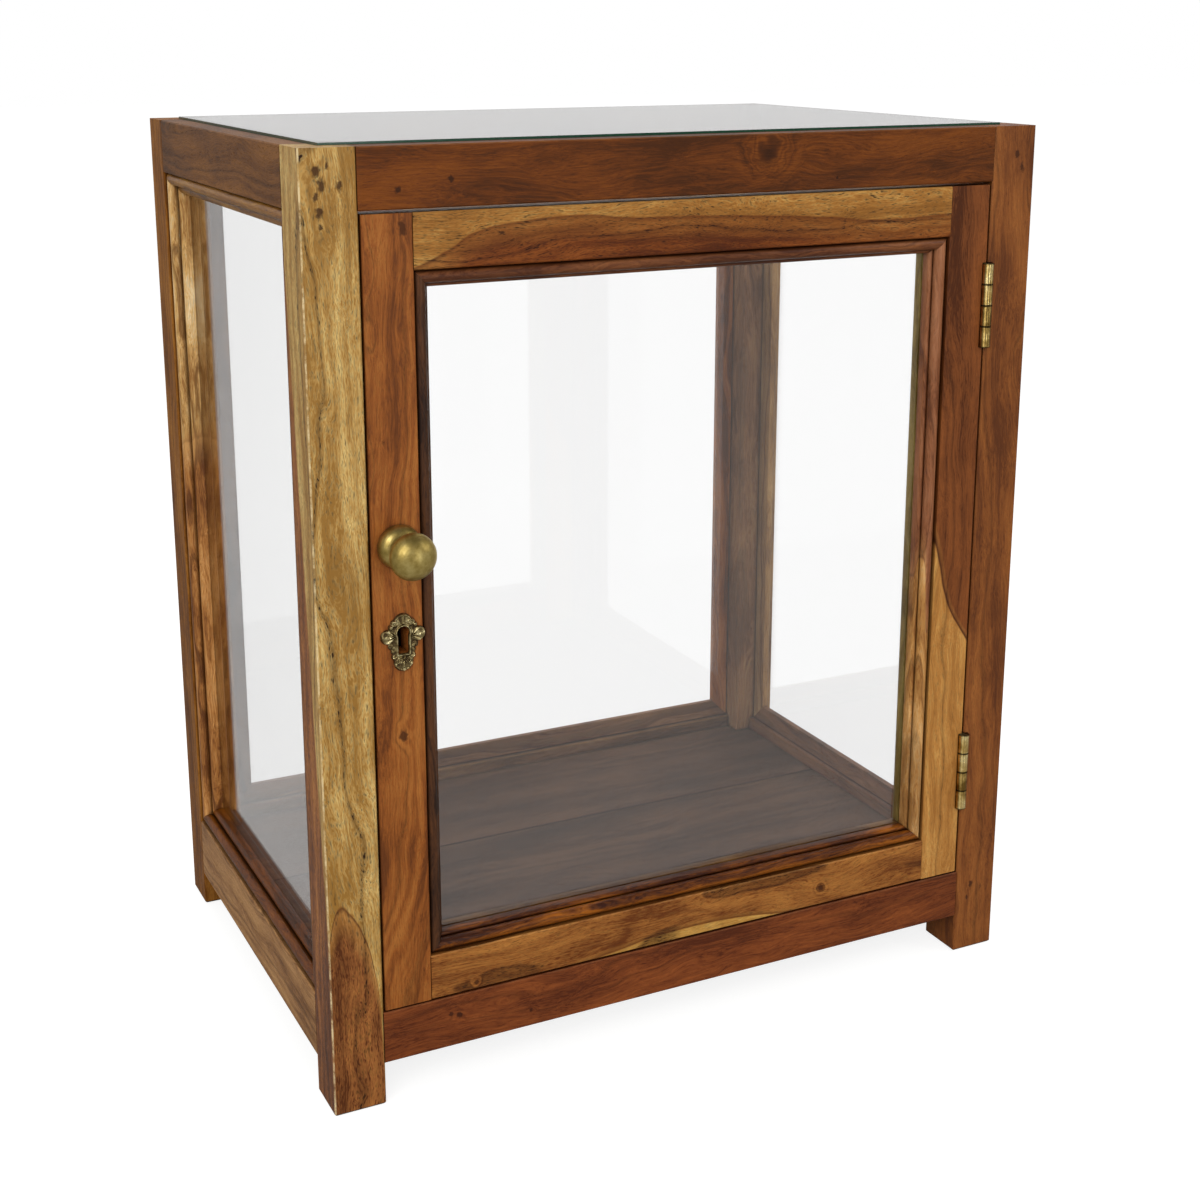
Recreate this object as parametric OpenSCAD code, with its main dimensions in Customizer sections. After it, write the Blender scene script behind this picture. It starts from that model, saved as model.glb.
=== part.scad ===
// Glazed wooden display cabinet with one inset door on the right hand, to stand on a table or a shelf.
// The origin is on the floor, at the centre of the whole outline with the knob counted in.
// X runs to the right, Y to the back and Z up. All sizes are millimetres.

/* [Case] */
// Width over the posts
case_w = 510; // [420:5:680]
// Depth over the posts
case_d = 353; // [300:1:460]
// Height to the top of the wood
case_h = 600; // [520:5:800]
// Side of a square post
post = 34; // [32:1:40]
// Flat worn on each long arris of a post
post_edge = 0.9; // [0.4:0.1:1.5]
// Bevel round the foot of a post
foot_edge = 1.6; // [0.5:0.1:3]

/* [Rails] */
// Thickness of every rail of the case
rail_t = 21; // [20:0.5:24]
// Height of the four top rails
top_rail_h = 36; // [30:1:50]
// Height of the bottom rail under the door
front_rail_h = 35; // [30:1:45]
// Free height under the front bottom rail
front_rail_lift = 29; // [24:1:40]
// Height of the bottom rails at the sides and back
side_rail_h = 44; // [40:1:55]
// Free height under the side and back bottom rails
side_rail_lift = 25.5; // [20:0.5:36]
// Flat worn on each long arris of a rail
rail_edge = 0.7; // [0.3:0.1:1.2]
// Length of a tenon in a post
tenon_l = 10; // [8:0.5:13]
// Thickness of a tenon
tenon_t = 8; // [6:0.5:9]
// Shoulder above and below a tenon
tenon_shoulder = 6; // [5:0.5:8]
// Depth over which the top rail faces the edge of the door
door_lap = 12; // [9:0.5:16]
// Height of the relief behind that lap
door_lap_h = 8; // [5:0.5:12]

/* [Door] */
// Thickness of the door frame
door_t = 25; // [24:0.5:30]
// Width of a door stile
stile_w = 31; // [30:0.5:45]
// Height of the upper door rail
door_top_h = 33; // [26:0.5:50]
// Height of the lower door rail
door_bottom_h = 30; // [26:0.5:50]
// Gap at each side of the door
door_gap_side = 1.5; // [1.3:0.1:2]
// Gap above the door
door_gap_top = 2; // [1.2:0.1:3]
// Gap below the door
door_gap_bottom = 1.5; // [1:0.1:3]
// Length of a tenon in a stile
door_tenon_l = 14; // [10:0.5:18]
// Thickness of the stop strip across the post
stop_w = 8; // [5:0.5:12]
// Gap between the closed door and its stop
stop_gap = 0.4; // [0.3:0.1:1]

/* [Glass] */
// Thickness of the upright panes
pane_t = 3; // [2:0.5:4]
// Depth of the groove that holds a pane of the case
groove_d = 4; // [3:0.5:6]
// Play of a pane in its groove or rebate
pane_play = 0.5; // [0.2:0.1:1]
// Thickness of the top pane
top_glass_t = 4; // [3:0.5:6]
// Distance from the outline of the case to the top pane
top_glass_inset = 17; // [12:0.5:19]
// Height of the top pane above the wood
top_glass_proud = 1.5; // [0.5:0.1:2.5]

/* [Bead mouldings] */
// Depth from the face of the frame to the glass
mould_d = 14; // [13:0.5:16]
// Width of the moulding of the case panels
case_mould_w = 14; // [11:0.5:18]
// Width of the moulding and bead of the door
door_mould_w = 11; // [10:0.5:16]
// Radius of the large bead
bead_r = 4; // [3:0.1:4.5]
// Depth of the front of the bead below the frame
bead_sink = 1.2; // [0.4:0.1:2]
// Rounded corner of the plain bead behind the door glass
plain_bead_r = 2.5; // [1:0.1:4]
// Open width of a mitre
mitre_gap = 0.1; // [0.05:0.05:0.3]

/* [Floor] */
// Height of the top of the floor
floor_top = 60; // [57:0.5:62]
// Thickness of a floor board
board_t = 12; // [8:0.5:15]
// Width of the front floor board
front_board_w = 195; // [120:1:230]
// Joint between the two boards
board_joint = 0.5; // [0.2:0.1:1]
// Side of a square cleat under the floor
cleat = 12; // [10:0.5:12]

/* [Hinges] */
// Length of a hinge
hinge_l = 57; // [45:1:76]
// Diameter of the barrel
barrel_d = 7.8; // [6.6:0.1:8.2]
// Diameter of the pin
hinge_pin_d = 3.2; // [2.6:0.1:3.6]
// Clearance of the pin in the knuckles of the door leaf
hinge_pin_clear = 0.05; // [0.02:0.01:0.1]
// Gap between two knuckles
knuckle_gap = 0.3; // [0.2:0.05:0.5]
// Thickness of a leaf
leaf_t = 1.2; // [1:0.1:1.6]
// Distance from the face of the door to the far edge of a leaf
leaf_reach = 20; // [16:0.5:23]
// Height of the barrel centre above the face
hinge_proud = 0.8; // [0.6:0.1:3]
// Distance from the top of the door to the upper hinge
hinge_top_gap = 52; // [35:1:90]
// Distance from the bottom of the door to the lower hinge
hinge_bottom_gap = 50; // [35:1:90]
// Clearance of the barrel in its scoop
scoop_clear = 0.35; // [0.3:0.05:0.6]
// Diameter of the head of a small wood screw
screw_head_d = 5.2; // [4.4:0.1:5.6]
// Diameter of the shank of a small wood screw
screw_d = 2.8; // [2:0.1:3]
// Length of a hinge screw
screw_l = 14; // [10:0.5:18]

/* [Knob] */
// Diameter of the head
knob_d = 28.6; // [22:0.2:34]
// Thickness of the head
knob_head_t = 19; // [12:0.5:24]
// Reach of the knob in front of the door
knob_reach = 34; // [30:0.5:45]
// Diameter of the domed rose behind it
rose_d = 27; // [20:0.5:30]
// Height of the rose
rose_h = 8; // [5:0.5:10]
// Diameter of the neck
neck_d = 11; // [9:0.5:13]
// Diameter of the screw that holds the knob
knob_screw_d = 4; // [3:0.1:5]
// Height of the knob above the bottom of the door
knob_z = 301; // [260:1:400]
// Distance of the knob from the middle of the stile, toward the glass
knob_offset = 1.5; // [0:0.1:3]
// Depth of the knob screw in the head
knob_screw_bite = 11; // [8:0.5:12]

/* [Keyhole plate and lock] */
// Height of the plate above the bottom of the door
plate_z = 241.5; // [120:0.5:255]
// Height of the plate
plate_h = 37.1; // [32:0.1:39]
// Distance of the plate from the middle of the stile, toward the glass
plate_offset = 2.5; // [0:0.1:3]
// Thickness of the flat of the plate
plate_t = 1.4; // [1:0.1:2]
// Height of the relief on the plate
relief = 1.3; // [0.8:0.1:1.8]
// Width of the keyhole
keyhole_w = 7.6; // [6:0.1:8.4]
// Height of the keyhole
keyhole_h = 16.8; // [13:0.1:18]
// Height of the middle of the keyhole above the middle of the plate
keyhole_lift = 1.3; // [0:0.1:2]
// Width of the raised rim of the keyhole
keyhole_rim = 1.1; // [0.6:0.1:1.4]
// Diameter of the pins that hold the plate
plate_pin_d = 1.2; // [0.8:0.1:1.6]
// Depth of the pins in the wood
plate_pin_l = 6; // [4:0.5:8]
// Width of the lock case
lock_w = 21; // [19:0.5:23]
// Height of the lock case
lock_h = 38; // [32:0.5:44]
// Depth from the face of the door to the lock case
lock_depth = 13; // [10:0.5:14]
// Wall of the lock case
lock_wall = 1.2; // [1:0.1:1.5]
// Margin of the lock cover on each side of the case
cover_side = 2; // [1:0.5:3]
// Margin of the lock cover above and below the case
cover_end = 6; // [5:0.5:9]
// Depth of the middle of the bolt below the middle of the plate
bolt_drop = 8; // [5:0.5:10]
// Height of the bolt
bolt_h = 10; // [8:0.5:12]
// Thickness of the bolt
bolt_t = 4; // [3:0.1:4.5]
// Travel of the bolt
bolt_travel = 7; // [4:0.5:8]
// Running clearance of the bolt on each side
bolt_clear = 0.1; // [0.05:0.01:0.2]
// Wider clearance of the bolt in the wood and in the striking plate
bolt_play = 0.4; // [0.3:0.1:0.8]
// Length of a lock screw
lock_screw_l = 9; // [6:0.5:10]
// Diameter of the shank of a lock screw
lock_screw_d = 2; // [1.6:0.1:2.4]
// Diameter of the head of a lock screw
lock_head_d = 4; // [3.4:0.1:4.6]
// Width of the striking plate
strike_w = 12; // [10:0.5:14]
// Height of the striking plate
strike_h = 34; // [28:0.5:40]

/* [Hidden] */
$fn = 48;
// Faces of the case, counted from the centre of its own outline
half_w = case_w / 2;
half_d = case_d / 2;
inner_x = half_w - post;
inner_y = half_d - post;
front = -half_d;
// Heights of the openings
top_rail_z = case_h - top_rail_h;
side_rail_z = side_rail_lift + side_rail_h;
front_rail_z = front_rail_lift + front_rail_h;
panel_h = top_rail_z - side_rail_z;
panel_z = (top_rail_z + side_rail_z) / 2;
// Door outline and glass opening
door_x = inner_x - door_gap_side;
door_z0 = front_rail_z + door_gap_bottom;
door_z1 = top_rail_z - door_gap_top;
open_x = door_x - stile_w;
open_z0 = door_z0 + door_bottom_h;
open_z1 = door_z1 - door_top_h;
open_h = open_z1 - open_z0;
open_z = (open_z0 + open_z1) / 2;
bead_depth = door_t - mould_d - pane_t;
// Top pane in its rebate
ledge_z = case_h + top_glass_proud - top_glass_t;
top_pane_x = half_w - top_glass_inset;
top_pane_y = half_d - top_glass_inset;
// Floor
floor_x = half_w - rail_t;
floor_y = half_d - rail_t;
board_z = floor_top - board_t;
seam_y = front + rail_t + front_board_w;
// Hinge barrel
barrel_r = barrel_d / 2;
pin_r = hinge_pin_d / 2;
hinge_x = inner_x - door_gap_side / 2;
hinge_y = front - hinge_proud;
knuckle_l = hinge_l / 4;
hinge_upper_z = door_z1 - hinge_top_gap - hinge_l;
hinge_lower_z = door_z0 + hinge_bottom_gap;
hinge_screw_z = [hinge_l * 0.15, hinge_l * 0.5, hinge_l * 0.85];
hinge_screw_y = front + leaf_reach * 0.62;
screw_r = screw_d / 2;
// Knob, plate and lock on the left stile
lock_x = -door_x + stile_w / 2;
knob_x = lock_x + knob_offset;
plate_x = lock_x + plate_offset;
plate_mid = door_z0 + plate_z;
key_mid = plate_mid + keyhole_lift;
// The ornament is drawn for a plate 37.1 mm high
ornament = plate_h / 37.1;
lock_x0 = lock_x - lock_w / 2;
lock_y0 = front + lock_depth;
lock_y1 = front + door_t - lock_wall;
lock_z0 = plate_mid - lock_h / 2;
bolt_y = (lock_y0 + lock_y1) / 2 + bolt_t / 8;
bolt_z = plate_mid - bolt_drop;
bolt_l = stile_w / 2 + lock_w * 2 / 7;
strike_z = bolt_z;
lock_screw_r = lock_screw_d / 2;
lock_head_r = lock_head_d / 2;
plate_pin_r = plate_pin_d / 2;

// Shared shapes

// Moves the case back by half the reach of the knob, so that the origin is under the middle of the whole
module placed() {
    translate([0, knob_reach / 2, 0]) children();
}

// A box from one corner to the other
module block(a, b) {
    translate(a) cube(b - a);
}

// Points on an arc
function arc(c, rx, ry, a0, a1, n) =
    [for (i = [0:n]) let (a = a0 + (a1 - a0) * i / n) [c[0] + rx * cos(a), c[1] + ry * sin(a)]];

// A bar of rectangular section with worn long arrises, along Z
module bar(w, d, l, e) {
    linear_extrude(l)
        polygon([[e, 0], [w - e, 0], [w, e], [w, d - e], [w - e, d], [e, d], [0, d - e], [0, e]]);
}

// The same bar laid along X, with its thickness along Y
module bar_x(l, t, h, e) {
    rotate([90, 0, 90]) bar(t, h, l, e);
}

// Puts a panel drawn in X and Y, with its outside toward Z, on a face of the case
module on_face(side) {
    if (side == "front") translate([0, -half_d, 0]) rotate([90, 0, 0]) children();
    if (side == "back") translate([0, half_d, 0]) rotate([90, 0, 180]) children();
    if (side == "left") translate([-half_w, 0, 0]) rotate([90, 0, -90]) children();
    if (side == "right") translate([half_w, 0, 0]) rotate([90, 0, 90]) children();
}

// Posts

// One leg of the case in the quarter where X and Y are positive
module post_bar() {
    difference() {
        translate([inner_x, inner_y, 0]) bar(post, post, case_h, post_edge);
        for (a = [0:3]) {
            translate([inner_x + post / 2, inner_y + post / 2, 0]) rotate([0, 0, 90 * a])
                translate([post / 2, 0, 0]) rotate([0, 45, 0])
                    cube([foot_edge * sqrt(2), post + 2, foot_edge * sqrt(2)], center = true);
        }
    }
}

// Mortises for the four tenons that meet in a post
module post_mortises(low_z, low_h) {
    d0 = (rail_t - tenon_t) / 2;
    y1 = half_d - d0;
    x1 = half_w - d0;
    s = tenon_shoulder;
    block([inner_x - 1, y1 - tenon_t, top_rail_z + s], [inner_x + tenon_l, y1, case_h - s]);
    block([x1 - tenon_t, inner_y - 1, top_rail_z + s], [x1, inner_y + tenon_l, case_h - s]);
    block([inner_x - 1, y1 - tenon_t, low_z + s], [inner_x + tenon_l, y1, low_z + low_h - s]);
    block([x1 - tenon_t, inner_y - 1, side_rail_lift + s], [x1, inner_y + tenon_l, side_rail_z - s]);
}

// Groove for the side pane, on the face of the post that looks along the side
module side_groove() {
    x1 = half_w - mould_d;
    block([x1 - pane_t, inner_y - 1, side_rail_z - groove_d], [x1, inner_y + groove_d, top_rail_z + groove_d]);
}

// Groove for the back pane
module back_groove() {
    y1 = half_d - mould_d;
    block([inner_x - 1, y1 - pane_t, side_rail_z - groove_d], [inner_x + groove_d, y1, top_rail_z + groove_d]);
}

// Rebate for the top pane, cut from rails and posts alike
module top_rebate() {
    p = pane_play;
    block([-top_pane_x - p, -top_pane_y - p, ledge_z], [top_pane_x + p, top_pane_y + p, case_h + 1]);
}

module back_post() {
    difference() {
        post_bar();
        post_mortises(side_rail_lift, side_rail_h);
        side_groove();
        back_groove();
        top_rebate();
    }
}

module front_post() {
    difference() {
        post_bar();
        post_mortises(front_rail_lift, front_rail_h);
        side_groove();
        top_rebate();
    }
}

module post_back_right() {
    color("#8a5a33") placed() back_post();
}

module post_back_left() {
    color("#8a5a33") placed() mirror([1, 0, 0]) back_post();
}

module post_front_right() {
    color("#8a5a33") placed() difference() {
        mirror([0, 1, 0]) front_post();
        hinge_scoops();
        leaf_seat(hinge_upper_z, 1);
        leaf_seat(hinge_lower_z, 1);
        hinge_screw_set(1);
    }
}

module post_front_left() {
    color("#8a5a33") placed() difference() {
        mirror([1, 0, 0]) mirror([0, 1, 0]) front_post();
        strike_seat();
        strike_screw_set();
    }
}

// Rails of the case

// A rail with a tenon at each end, centred on X, its outer face at Y zero and its body toward positive Y
module rail(span, h) {
    d0 = (rail_t - tenon_t) / 2;
    s = tenon_shoulder;
    translate([-span / 2, 0, 0]) bar_x(span, rail_t, h, rail_edge);
    block([-span / 2 - tenon_l, d0, s], [span / 2 + tenon_l, d0 + tenon_t, h - s]);
}

// Groove for a pane in the upper or lower edge of a rail
module rail_groove(span, z) {
    block([-span / 2 - 0.1, mould_d, z], [span / 2 + 0.1, mould_d + pane_t, z + groove_d + 1]);
}

module top_rail(span, grooved) {
    difference() {
        translate([0, 0, top_rail_z]) rail(span, top_rail_h);
        if (grooved) rail_groove(span, top_rail_z - 1);
    }
}

module low_rail(span) {
    difference() {
        translate([0, 0, side_rail_lift]) rail(span, side_rail_h);
        rail_groove(span, side_rail_z - groove_d);
    }
}

module top_rail_front() {
    color("#7d4a28") placed() difference() {
        translate([0, front, 0]) top_rail(2 * inner_x, false);
        block([-inner_x, front + door_lap, top_rail_z - 1],
            [inner_x, front + rail_t + 1, top_rail_z + door_lap_h]);
        top_rebate();
    }
}

module top_rail_back() {
    color("#7d4a28") placed() difference() {
        rotate([0, 0, 180]) translate([0, front, 0]) top_rail(2 * inner_x, true);
        top_rebate();
    }
}

module top_rail_left() {
    color("#7d4a28") placed() difference() {
        rotate([0, 0, -90]) translate([0, -half_w, 0]) top_rail(2 * inner_y, true);
        top_rebate();
    }
}

module top_rail_right() {
    color("#7d4a28") placed() difference() {
        rotate([0, 0, 90]) translate([0, -half_w, 0]) top_rail(2 * inner_y, true);
        top_rebate();
    }
}

module bottom_rail_front() {
    color("#7d4a28") placed() translate([0, front, front_rail_lift]) rail(2 * inner_x, front_rail_h);
}

module bottom_rail_back() {
    color("#7d4a28") placed() rotate([0, 0, 180]) translate([0, front, 0]) low_rail(2 * inner_x);
}

module bottom_rail_left() {
    color("#7d4a28") placed() rotate([0, 0, -90]) translate([0, -half_w, 0]) low_rail(2 * inner_y);
}

module bottom_rail_right() {
    color("#7d4a28") placed() rotate([0, 0, 90]) translate([0, -half_w, 0]) low_rail(2 * inner_y);
}

// Floor boards on cleats, cut round the posts

module floor_part(y0, y1) {
    difference() {
        block([-floor_x, y0, board_z], [floor_x, y1, floor_top]);
        for (sx = [-1, 1], sy = [-1, 1]) {
            translate([sx * (inner_x + post / 2), sy * (inner_y + post / 2), board_z])
                cube([post, post, 3 * board_t], center = true);
        }
    }
}

module floor_board_front() {
    color("#5d4130") placed() floor_part(front + rail_t, seam_y - board_joint);
}

module floor_board_back() {
    color("#5d4130") placed() floor_part(seam_y, floor_y);
}

module floor_cleats() {
    color("#6b4a2e") placed() {
        for (s = [-1, 1]) {
            translate([s * (floor_x - cleat / 2), 0, board_z - cleat / 2])
                cube([cleat, 2 * inner_y, cleat], center = true);
            translate([0, s * (floor_y - cleat / 2), board_z - cleat / 2])
                cube([2 * inner_x, cleat, cleat], center = true);
        }
    }
}

// Strip on the left post that the closed door meets
module door_stop() {
    y0 = front + door_t + stop_gap;
    color("#6b4a2e") placed() block([-inner_x, y0, floor_top], [-inner_x + stop_w, -inner_y, top_rail_z]);
}

// Panes

module side_pane(side, w, x_play) {
    h = panel_h + 2 * groove_d - pane_play;
    on_face(side) translate([-w / 2 - groove_d + x_play, side_rail_z - groove_d, -mould_d - pane_t])
        cube([w + 2 * groove_d - 2 * x_play, h, pane_t]);
}

module glass_left() {
    color("#dfe9e6", 0.35) placed() side_pane("left", 2 * inner_y, pane_play);
}

module glass_right() {
    color("#dfe9e6", 0.35) placed() side_pane("right", 2 * inner_y, pane_play);
}

module glass_back() {
    color("#dfe9e6", 0.35) placed() side_pane("back", 2 * inner_x, pane_play);
}

module glass_top() {
    color("#dfe9e6", 0.35) placed()
        block([-top_pane_x, -top_pane_y, ledge_z], [top_pane_x, top_pane_y, ledge_z + top_glass_t]);
}

// Bead mouldings with mitred corners

// Section of the moulding: X into the opening, Y outward from the glass side of the frame face
module mould_section(w) {
    small_r = (w - 2 * bead_r + 1) / 2;
    c = [bead_r + 0.4, -bead_sink - bead_r];
    small_c = [w - small_r, c[1] - bead_r * 0.5 - small_r];
    big = arc(c, bead_r, bead_r, 170, -25, 14);
    small = arc(small_c, small_r, small_r, 145, 0, 8);
    polygon(concat([[0, -mould_d], [0, c[1] - 0.2]], big, small, [[w, -mould_d]]));
}

// Section of the plain bead behind the door glass
module bead_section(w) {
    r = plain_bead_r;
    y0 = -mould_d - pane_t - bead_depth;
    edge = arc([w - r, y0 + r], r, r, 0, -90, 6);
    polygon(concat([[0, -mould_d - pane_t], [w, -mould_d - pane_t]], edge, [[0, y0]]));
}

// One side of a frame, its outer edge on X and its section toward the middle of the opening
module mitred(l, w) {
    x = l / 2 - mitre_gap / sqrt(2);
    intersection() {
        translate([-l / 2, 0, 0]) rotate([90, 0, 90]) linear_extrude(l) children();
        translate([0, 0, -door_t]) linear_extrude(door_t + 1)
            polygon([[-x, 0], [x, 0], [x - w, w], [w - x, w]]);
    }
}

// Four mitred sides round an opening with its middle at the origin
module mould_frame(w, h, s) {
    for (a = [0, 2]) {
        rotate([0, 0, 90 * a]) translate([0, -h / 2, 0]) mitred(w, s) children();
        rotate([0, 0, 90 * a + 90]) translate([0, -w / 2, 0]) mitred(h, s) children();
    }
}

module case_moulding(side, w) {
    on_face(side) translate([0, panel_z, 0]) mould_frame(w, panel_h, case_mould_w) mould_section(case_mould_w);
}

module moulding_left() {
    color("#6f3f22") placed() case_moulding("left", 2 * inner_y);
}

module moulding_right() {
    color("#6f3f22") placed() case_moulding("right", 2 * inner_y);
}

module moulding_back() {
    color("#6f3f22") placed() case_moulding("back", 2 * inner_x);
}

// Door

// A stile of the door at positive X, with mortises for the two door rails
module stile() {
    d0 = front + (door_t - tenon_t) / 2;
    s = tenon_shoulder;
    difference() {
        translate([open_x, front, door_z0]) bar(stile_w, door_t, door_z1 - door_z0, rail_edge);
        block([open_x - 1, d0, door_z0 + s], [open_x + door_tenon_l, d0 + tenon_t, open_z0 - s]);
        block([open_x - 1, d0, open_z1 + s], [open_x + door_tenon_l, d0 + tenon_t, door_z1 - s]);
    }
}

module door_stile_right() {
    color("#94562c") placed() difference() {
        stile();
        hinge_scoops();
        leaf_seat(hinge_upper_z, -1);
        leaf_seat(hinge_lower_z, -1);
        hinge_screw_set(-1);
    }
}

module door_stile_left() {
    color("#94562c") placed() difference() {
        mirror([1, 0, 0]) stile();
        keyhole(front - 1, front + lock_depth + 1);
        lock_pocket();
        lock_screw_set();
        each_plate_pin() translate([0, 0, -plate_pin_l]) cylinder(r = plate_pin_r, h = plate_pin_l + 1);
        translate([knob_x, front, door_z0 + knob_z]) rotate([-90, 0, 0]) knob_bore(door_t);
        block([-door_x - 1, bolt_y - bolt_t / 2 - bolt_play, bolt_z - bolt_h / 2 - bolt_play],
            [lock_x0 + 1, bolt_y + bolt_t / 2 + bolt_play, bolt_z + bolt_h / 2 + bolt_play]);
    }
}

module door_rail(z, h) {
    d0 = (door_t - tenon_t) / 2;
    s = tenon_shoulder;
    l = open_x + door_tenon_l;
    translate([0, front, z]) {
        translate([-open_x, 0, 0]) bar_x(2 * open_x, door_t, h, rail_edge);
        block([-l, d0, s], [l, d0 + tenon_t, h - s]);
    }
}

module door_rail_top() {
    color("#9c6231") placed() door_rail(open_z1, door_top_h);
}

module door_rail_bottom() {
    color("#9c6231") placed() door_rail(door_z0, door_bottom_h);
}

module door_glass() {
    p = pane_play;
    color("#dfe9e6", 0.35) placed()
        block([-open_x + p, front + mould_d, open_z0], [open_x - p, front + mould_d + pane_t, open_z1 - p]);
}

module door_moulding() {
    color("#6f3f22") placed() on_face("front") translate([0, open_z, 0])
        mould_frame(2 * open_x, open_h, door_mould_w) mould_section(door_mould_w);
}

module door_bead() {
    color("#8f6a3a") placed() on_face("front") translate([0, open_z, 0])
        mould_frame(2 * open_x, open_h, door_mould_w) bead_section(door_mould_w);
}

// Butt hinges with four knuckles each, let into the door and the post

module hinge_scoops() {
    for (z = [hinge_upper_z, hinge_lower_z]) {
        translate([hinge_x, hinge_y, z - scoop_clear])
            cylinder(r = barrel_r + scoop_clear, h = hinge_l + 2 * scoop_clear);
    }
}

// Shallow seat for a leaf in the post or in the door
module leaf_seat(z, side) {
    x0 = hinge_x + side * door_gap_side / 2;
    x1 = x0 + side * leaf_t;
    block([min(x0, x1), front - 1, z], [max(x0, x1), front + leaf_reach, z + hinge_l]);
}

// Countersunk wood screw with its head on the XY plane and its point toward Z
module wood_screw(r, head_r, head_t, l) {
    cylinder(r1 = head_r, r2 = r, h = head_t);
    translate([0, 0, head_t]) cylinder(r = r, h = l - head_t - 2 * r);
    translate([0, 0, l - 2 * r]) cylinder(r1 = r, r2 = 0.2, h = 2 * r);
}

module slotted_screw(r, head_r, head_t, l) {
    difference() {
        wood_screw(r, head_r, head_t, l);
        cube([2 * head_r + 1, head_r * 0.3, head_t * 0.8], center = true);
    }
}

// Places the three screws of each hinge on the post side or the door side
module each_hinge_screw(side) {
    for (z = [hinge_upper_z, hinge_lower_z], dz = hinge_screw_z) {
        translate([hinge_x + side * door_gap_side / 2, hinge_screw_y, z + dz])
            rotate([0, side * 90, 0]) children();
    }
}

module hinge_screw_set(side) {
    each_hinge_screw(side) wood_screw(screw_r, screw_head_d / 2, leaf_t, screw_l);
}

// A knuckle of the barrel by its place from the top, with the tongue that joins it to its leaf
module knuckle(z, n, side, bore_r) {
    z0 = z + hinge_l - (n + 1) * knuckle_l + knuckle_gap / 2;
    l = knuckle_l - knuckle_gap;
    x0 = hinge_x + side * door_gap_side / 2;
    x1 = x0 + side * leaf_t;
    difference() {
        union() {
            translate([hinge_x, hinge_y, z0]) cylinder(r = barrel_r, h = l);
            block([min(x0, x1), hinge_y + pin_r + 0.6, z0], [max(x0, x1), hinge_y + barrel_r + 1, z0 + l]);
        }
        translate([hinge_x, hinge_y, z0 - 1]) cylinder(r = bore_r, h = l + 2);
    }
}

module leaf(z, side, first, bore_r) {
    x0 = hinge_x + side * door_gap_side / 2;
    x1 = x0 + side * leaf_t;
    difference() {
        union() {
            block([min(x0, x1), hinge_y + barrel_r + scoop_clear, z],
                [max(x0, x1), front + leaf_reach, z + hinge_l]);
            knuckle(z, first, side, bore_r);
            knuckle(z, first + 2, side, bore_r);
        }
        hinge_screw_set(side);
    }
}

module hinge_pin(z) {
    translate([hinge_x, hinge_y, z + knuckle_gap / 2]) cylinder(r = pin_r, h = hinge_l - knuckle_gap);
}

module hinge_upper_post_leaf() {
    color("#c9a24e") placed() leaf(hinge_upper_z, 1, 0, pin_r);
}

module hinge_upper_door_leaf() {
    color("#c9a24e") placed() leaf(hinge_upper_z, -1, 1, pin_r + hinge_pin_clear);
}

module hinge_upper_pin() {
    color("#b8964a") placed() hinge_pin(hinge_upper_z);
}

module hinge_lower_post_leaf() {
    color("#c9a24e") placed() leaf(hinge_lower_z, 1, 0, pin_r);
}

module hinge_lower_door_leaf() {
    color("#c9a24e") placed() leaf(hinge_lower_z, -1, 1, pin_r + hinge_pin_clear);
}

module hinge_lower_pin() {
    color("#b8964a") placed() hinge_pin(hinge_lower_z);
}

module hinge_post_screws() {
    color("#b8964a") placed() each_hinge_screw(1) slotted_screw(screw_r, screw_head_d / 2, leaf_t, screw_l);
}

module hinge_door_screws() {
    color("#b8964a") placed() each_hinge_screw(-1) slotted_screw(screw_r, screw_head_d / 2, leaf_t, screw_l);
}

// Turned knob on a domed rose

// Bore through the door with a seat for the head of the knob screw, along Z from the face
module knob_bore(t) {
    r = knob_screw_d / 2;
    translate([0, 0, -1]) cylinder(r = r, h = t + 2);
    translate([0, 0, t - r]) cylinder(r1 = r, r2 = 2 * r, h = r);
}

module on_knob() {
    translate([knob_x, front, door_z0 + knob_z]) rotate([90, 0, 0]) children();
}

// The rose is a flat dome with a level crown that carries the neck
module knob_rose() {
    r = rose_d / 2;
    n = neck_d / 2 + 0.8;
    dome = arc([n, 1.2], r - n, rose_h - 1.2, 0, 90, 10);
    color("#b0924f") placed() on_knob() difference() {
        rotate_extrude() polygon(concat([[0, 0], [r, 0]], dome, [[0, rose_h]]));
        translate([0, 0, -1]) cylinder(r = knob_screw_d / 2, h = rose_h + 2);
    }
}

module knob_head() {
    r = knob_d / 2;
    t = knob_head_t / 2;
    c = knob_reach - t;
    n = neck_d / 2;
    a0 = -acos(n / r);
    ball = arc([0, c], r, t, a0, 90, 20);
    z0 = ball[0][1];
    waist = arc([n, (rose_h + z0) / 2], -n * 0.25, (z0 - rose_h) / 2, -90, 60, 5);
    color("#b39450") placed() on_knob() difference() {
        rotate_extrude() polygon(concat([[0, rose_h]], waist, ball));
        translate([0, 0, rose_h - 1]) cylinder(r = knob_screw_d / 2, h = knob_screw_bite + 2);
    }
}

module knob_screw() {
    r = knob_screw_d / 2;
    l = door_t + rose_h + knob_screw_bite;
    color("#b8964a") placed()
        translate([knob_x, front + door_t, door_z0 + knob_z]) rotate([90, 0, 0]) difference() {
        union() {
            cylinder(r1 = 2 * r, r2 = r, h = r);
            translate([0, 0, r]) cylinder(r = r, h = l - r);
        }
        cube([5 * r, 0.6 * r, 1.2 * r], center = true);
    }
}

// Cast keyhole plate with leaves and shells in relief

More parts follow.
